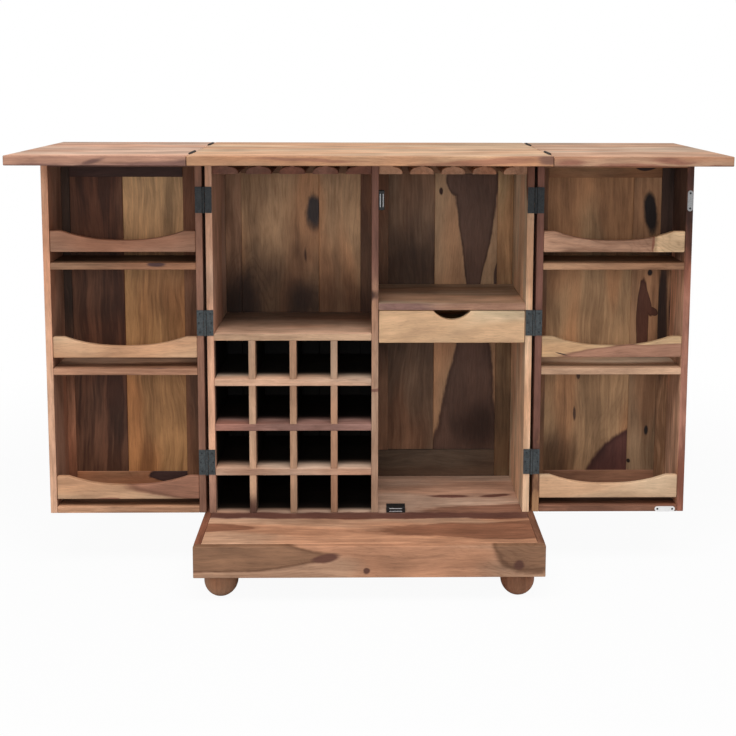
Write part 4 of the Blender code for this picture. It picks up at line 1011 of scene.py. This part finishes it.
def makeDoorLeaf(side, sideName, number, height, onDoor):
    direction = side if onDoor else -side
    axisX = side * cabinet["doorHingeX"]
    axisY = cabinet["doorHingeY"]

    def alongPin(u, v, w):
        return (axisX + direction * u, axisY + v, w)
    low, high = around(height, doorHinge["height"])
    lowEnd, highEnd = low + hingeFit["nearEnd"], high - hingeFit["nearEnd"]
    own, others = knuckleSpans(doorHinge, low, high, not onDoor)
    mesh = bmesh.new()
    for start, end in own:
        addKnuckle(mesh, alongPin, doorHinge["knuckle"], start, end)
    if not onDoor:
        pin = doorHinge["pin"]
        turnedShell(mesh, [(0, lowEnd), (pin, lowEnd), (pin, highEnd), (0, highEnd)], alongPin,
                    hingeFit["pinSegments"], 2)
    # the plate reaches under its own knuckles and is notched round the other leaf's
    near, clear, notch = doorHinge["near"], doorHinge["knuckle"] + doorHinge["clear"], doorHinge["notch"]
    width = doorHinge["width"]
    outline = [(width, low), (width, high)]
    for start, end in reversed(others):
        outline += [(clear, high)] if end > highEnd else [(near, end + notch), (clear, end + notch)]
        outline += [(clear, low)] if start < lowEnd else [(clear, start - notch), (near, start - notch)]
    if others[-1][1] < highEnd:
        outline.insert(2, (near, high))
    if others[0][0] > lowEnd:
        outline.append((near, low))
    face = doorHinge["gap"] - doorHinge["skin"]
    prismShell(mesh, outline, lambda u, w, v: alongPin(u, v, w), (face, doorHinge["sunk"]))
    for u, w in doorHinge["screws"]:
        addScrew(mesh, alongPin, u, height + w, face, -1)
    owner = sideName + "_door" if onDoor else "cabinet"
    name = "%s%sLeaf%d" % (sideName, "Door" if onDoor else "Case", number)
    # the top hinge takes the darker iron as painted shade under the overhanging top
    metal = "ironShaded" if number == len(doorHinge["heights"]) else "iron"
    makePiece(name, mesh, screwed(metal), owner)


def makeFlapLeaf(side, sideName, number, middle, onFlap):
    direction = side if onFlap else -side
    axisX = side * cabinet["flapHingeX"]
    axisZ = cabinet["flapHingeZ"]

    def alongPin(u, v, w):
        return (axisX + direction * v, w, axisZ - u)
    low, high = around(middle, flapHinge["length"])
    own, others = knuckleSpans(flapHinge, low, high, not onFlap)
    mesh = bmesh.new()
    for start, end in own:
        addKnuckle(mesh, alongPin, flapHinge["knuckle"], start, end)
    face = flapHinge["gap"] - flapHinge["proud"]
    back = flapHinge["gap"] + flapHinge["sunk"]
    depth, top = flapHinge["depth"], flapHinge["top"]
    clear = flapHinge["knuckle"] + flapHinge["clear"]
    # the flap's leaf has the knuckle in the middle, the other leaf the two beside it
    ends, centre, (start, end) = (clear, top, own[0]) if onFlap else (top, clear, others[0])
    outline = [(depth, low), (depth, high), (ends, high), (ends, end), (centre, end), (centre, start),
               (ends, start), (ends, low)]
    prismShell(mesh, outline, lambda u, w, v: alongPin(u, v, w), (face, back))
    for w in flapHinge["screws"]:
        addScrew(mesh, alongPin, flapHinge["screwDepth"], middle + w, face, -1)
    owner = sideName + "_flap" if onFlap else "cabinet"
    name = "%s%sLeaf%d" % (sideName, "Flap" if onFlap else "Top", number)
    makePiece(name, mesh, screwed("flapIron"), owner)


for side, sideName in bothSides:
    for onMoving in (False, True):
        for number, height in enumerate(doorHinge["heights"], start=1):
            makeDoorLeaf(side, sideName, number, height, onMoving)
        for number, middle in enumerate((-tops["hingeY"], tops["hingeY"]), start=1):
            makeFlapLeaf(side, sideName, number, middle, onMoving)
print("hinges")


# magnetic catches and the strike plates they hold

catches = {
    "length": 0.048, "depth": 0.026, "thickness": 0.014, "rounding": 0.0004, "roundSegments": 2,
    "front": -0.0512, "poleLength": 0.033, "poleThickness": 0.0019, "poleSpacing": 0.0072,
    "poleFront": -0.0524, "poleSunk": 0.004,
    "screws": ((-0.019, 0.006), (0.019, 0.006), (-0.019, 0.019), (0.019, 0.019)),
}
strikePlates = {"length": 0.052, "width": 0.0135, "steps": 14, "screws": (-0.019, 0.019)}


def makeCatch(name, node, toPoint):
    # u along the catch, v outward from what it is screwed to, w from front to back
    thick = catches["thickness"] / 2
    front = catches["front"]
    mesh = bmesh.new()

    def addBar(length, low, high, ends, slot):
        half = length / 2
        prismShell(mesh, [(-half, low), (half, low), (half, high), (-half, high)], toPoint, ends, slot)
    addBar(catches["length"], -thick, thick, (front, front + catches["depth"]), 0)
    for side in (-1, 1):
        low, high = around(side * catches["poleSpacing"] / 2, catches["poleThickness"])
        addBar(catches["poleLength"], low, high, (catches["poleFront"], front + catches["poleSunk"]), 1)
    makePiece(name, mesh, [finishes["plastic"], finishes["pole"]], "cabinet", node,
              catches["rounding"], catches["roundSegments"])
    screws = bmesh.new()
    for u, w in catches["screws"]:
        addScrew(screws, toPoint, u, front + w, thick, 1)
    makePiece(name + "Screws", screws, screwed("plastic"), "cabinet")


def plateOutline():
    radius = strikePlates["width"] / 2
    reach = strikePlates["length"] / 2 - radius
    points = []
    for end, start in ((1, -math.pi / 2), (-1, math.pi / 2)):
        for step in range(strikePlates["steps"] + 1):
            angle = start + math.pi * step / strikePlates["steps"]
            points.append((end * reach + radius * math.cos(angle), radius * math.sin(angle)))
    return points


def makeStrikePlate(name, node, upright):
    low, high, (x, y, z) = boxAndMiddle(node)

    def toPoint(u, v, w):
        return (x + v, w, z + u) if upright else (x + u, w, z + v)
    mesh = bmesh.new()
    prismShell(mesh, plateOutline(), toPoint, (low.y, high.y))
    for u in strikePlates["screws"]:
        addScrew(mesh, lambda a, b, c: toPoint(a, c, b), u, 0.0, low.y, -1)
    makePiece(name, mesh, screwed("steel" if upright else "brightSteel"), "right_door", node)


upperMiddle, lowerMiddle = (sum(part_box(node), Vector()) / 2 for node in ("upper_catch", "lower_catch"))
makeCatch("upperCatch", "upper_catch", lambda u, v, w: (upperMiddle.x + v, w, upperMiddle.z + u))
makeCatch("lowerCatch", "lower_catch", lambda u, v, w: (lowerMiddle.x + u, w, lowerMiddle.z + v))
makeStrikePlate("upperStrikePlate", "right_door_upper_strike_plate", True)
makeStrikePlate("lowerStrikePlate", "right_door_lower_strike_plate", False)
print("catches and strike plates")


# floor, light and camera

studio = {
    "floorSize": 14.0, "floorThickness": 0.02, "floorColour": (225, 225, 225), "floorDuller": 0.985,
    "floorGrain": {"Scale": 40.0, "Detail": 2.0}, "floorRoughness": 0.9, "floorSpecular": 0.1,
    "shadow": 0.055, "nearRadius": (1.2, 2.4), "world": 0.36,
    # place, target, width, height and power
    "lamps": {
        "overheadLight": ((0.0, -1.45, 3.2), (0.0, -0.10, 0.6), 2.8, 1.3, 82.0),
        "frontLight": ((-0.4, -3.6, 1.7), (0.0, 0.0, 0.6), 2.4, 1.6, 36.0),
    },
}
white = (1.0, 1.0, 1.0, 1.0)
view = {
    "sensor": 36.0, "focalPixels": 1090.97, "framePixels": 736, "middle": (382.85, 192.28),
    "place": (-0.0100, -2.7344, 1.2597), "pitch": 6.206, "turn": 0.888, "roll": 0.171,
}


def directRay(tree):
    rays = addNode(tree, "LightPath").outputs
    return calc(tree, "MAXIMUM", rays["Is Camera Ray"], rays["Is Transmission Ray"])


def makeFloor():
    mesh = bmesh.new()
    across = around(0.0, studio["floorSize"])
    boxShell(mesh, across, across, (-studio["floorThickness"], 0.0))
    material, tree, shader, spot = startMaterial("paleFloor")
    grainy = addNode(tree, "TexNoise", {"Vector": spot, **studio["floorGrain"]}).outputs[0]
    pale = paint(*studio["floorColour"])
    duller = scaled(pale, studio["floorDuller"])
    fill(tree, shader, {"Base Color": blendColour(tree, grainy, duller, pale),
                        "Roughness": studio["floorRoughness"], "Specular IOR Level": studio["floorSpecular"]})
    # seen straight on, the floor is paper white and keeps a soft shadow near the feet
    glow = addNode(tree, "Emission", {"Color": white, "Strength": 1.0})
    seen = directRay(tree)
    away = addNode(tree, "VectorMath", {0: spot}, operation="LENGTH").outputs["Value"]
    near = remap(tree, away, *studio["nearRadius"], studio["shadow"], 0.0)
    seen = calc(tree, "MULTIPLY", seen, calc(tree, "SUBTRACT", 1.0, near))
    mixed = addNode(tree, "MixShader", {0: seen, 1: shader.outputs[0], 2: glow.outputs[0]})
    tree.links.new(mixed.outputs[0], tree.nodes["Material Output"].inputs["Surface"])
    newObject("studioFloor", mesh, [material])


def makeWorld():
    world = bpy.data.worlds.new("studioWorld")
    world.use_nodes = True
    bpy.context.scene.world = world
    tree = world.node_tree
    tree.nodes.clear()
    light, paper = (addNode(tree, "Background", {"Color": white, "Strength": strength}).outputs[0]
                    for strength in (studio["world"], 1.0))
    mixed = addNode(tree, "MixShader", {0: directRay(tree), 1: light, 2: paper})
    output = addNode(tree, "OutputWorld")
    tree.links.new(mixed.outputs[0], output.inputs["Surface"])


def makeLamp(name, place, target, width, height, power):
    data = bpy.data.lights.new(name, "AREA")
    data.shape = "RECTANGLE"
    data.size = width
    data.size_y = height
    data.energy = power
    lamp = bpy.data.objects.new(name, data)
    lamp.location = place
    lamp.rotation_euler = (Vector(target) - Vector(place)).to_track_quat("-Z", "Y").to_euler()
    bpy.context.scene.collection.objects.link(lamp)


def makeCamera():
    data = bpy.data.cameras.new("photoCamera")
    data.sensor_fit = "HORIZONTAL"
    data.sensor_width = view["sensor"]
    data.lens = view["focalPixels"] / view["framePixels"] * view["sensor"]
    data.shift_x = (view["framePixels"] / 2 - view["middle"][0]) / view["framePixels"]
    data.shift_y = (view["middle"][1] - view["framePixels"] / 2) / view["framePixels"]
    data.dof.use_dof = False
    camera = bpy.data.objects.new("photoCamera", data)
    turn, pitch, roll = (math.radians(view[key]) for key in ("turn", "pitch", "roll"))
    ahead = Vector((math.sin(turn), math.cos(turn), 0.0))
    right = Vector((math.cos(turn), -math.sin(turn), 0.0))
    up = Vector((0.0, 0.0, 1.0))
    forward = ahead * math.cos(pitch) - up * math.sin(pitch)
    tilted = ahead * math.sin(pitch) + up * math.cos(pitch)
    cameraRight = right * math.cos(roll) + tilted * math.sin(roll)
    cameraUp = tilted * math.cos(roll) - right * math.sin(roll)
    turned = Matrix((cameraRight, cameraUp, -forward)).transposed().to_4x4()
    camera.matrix_world = Matrix.Translation(view["place"]) @ turned
    bpy.context.scene.collection.objects.link(camera)
    bpy.context.scene.camera = camera


makeFloor()
makeWorld()
for lampName, setting in studio["lamps"].items():
    makeLamp(lampName, *setting)
makeCamera()
bpy.context.scene.view_settings.view_transform = "Standard"
print("studio ready")
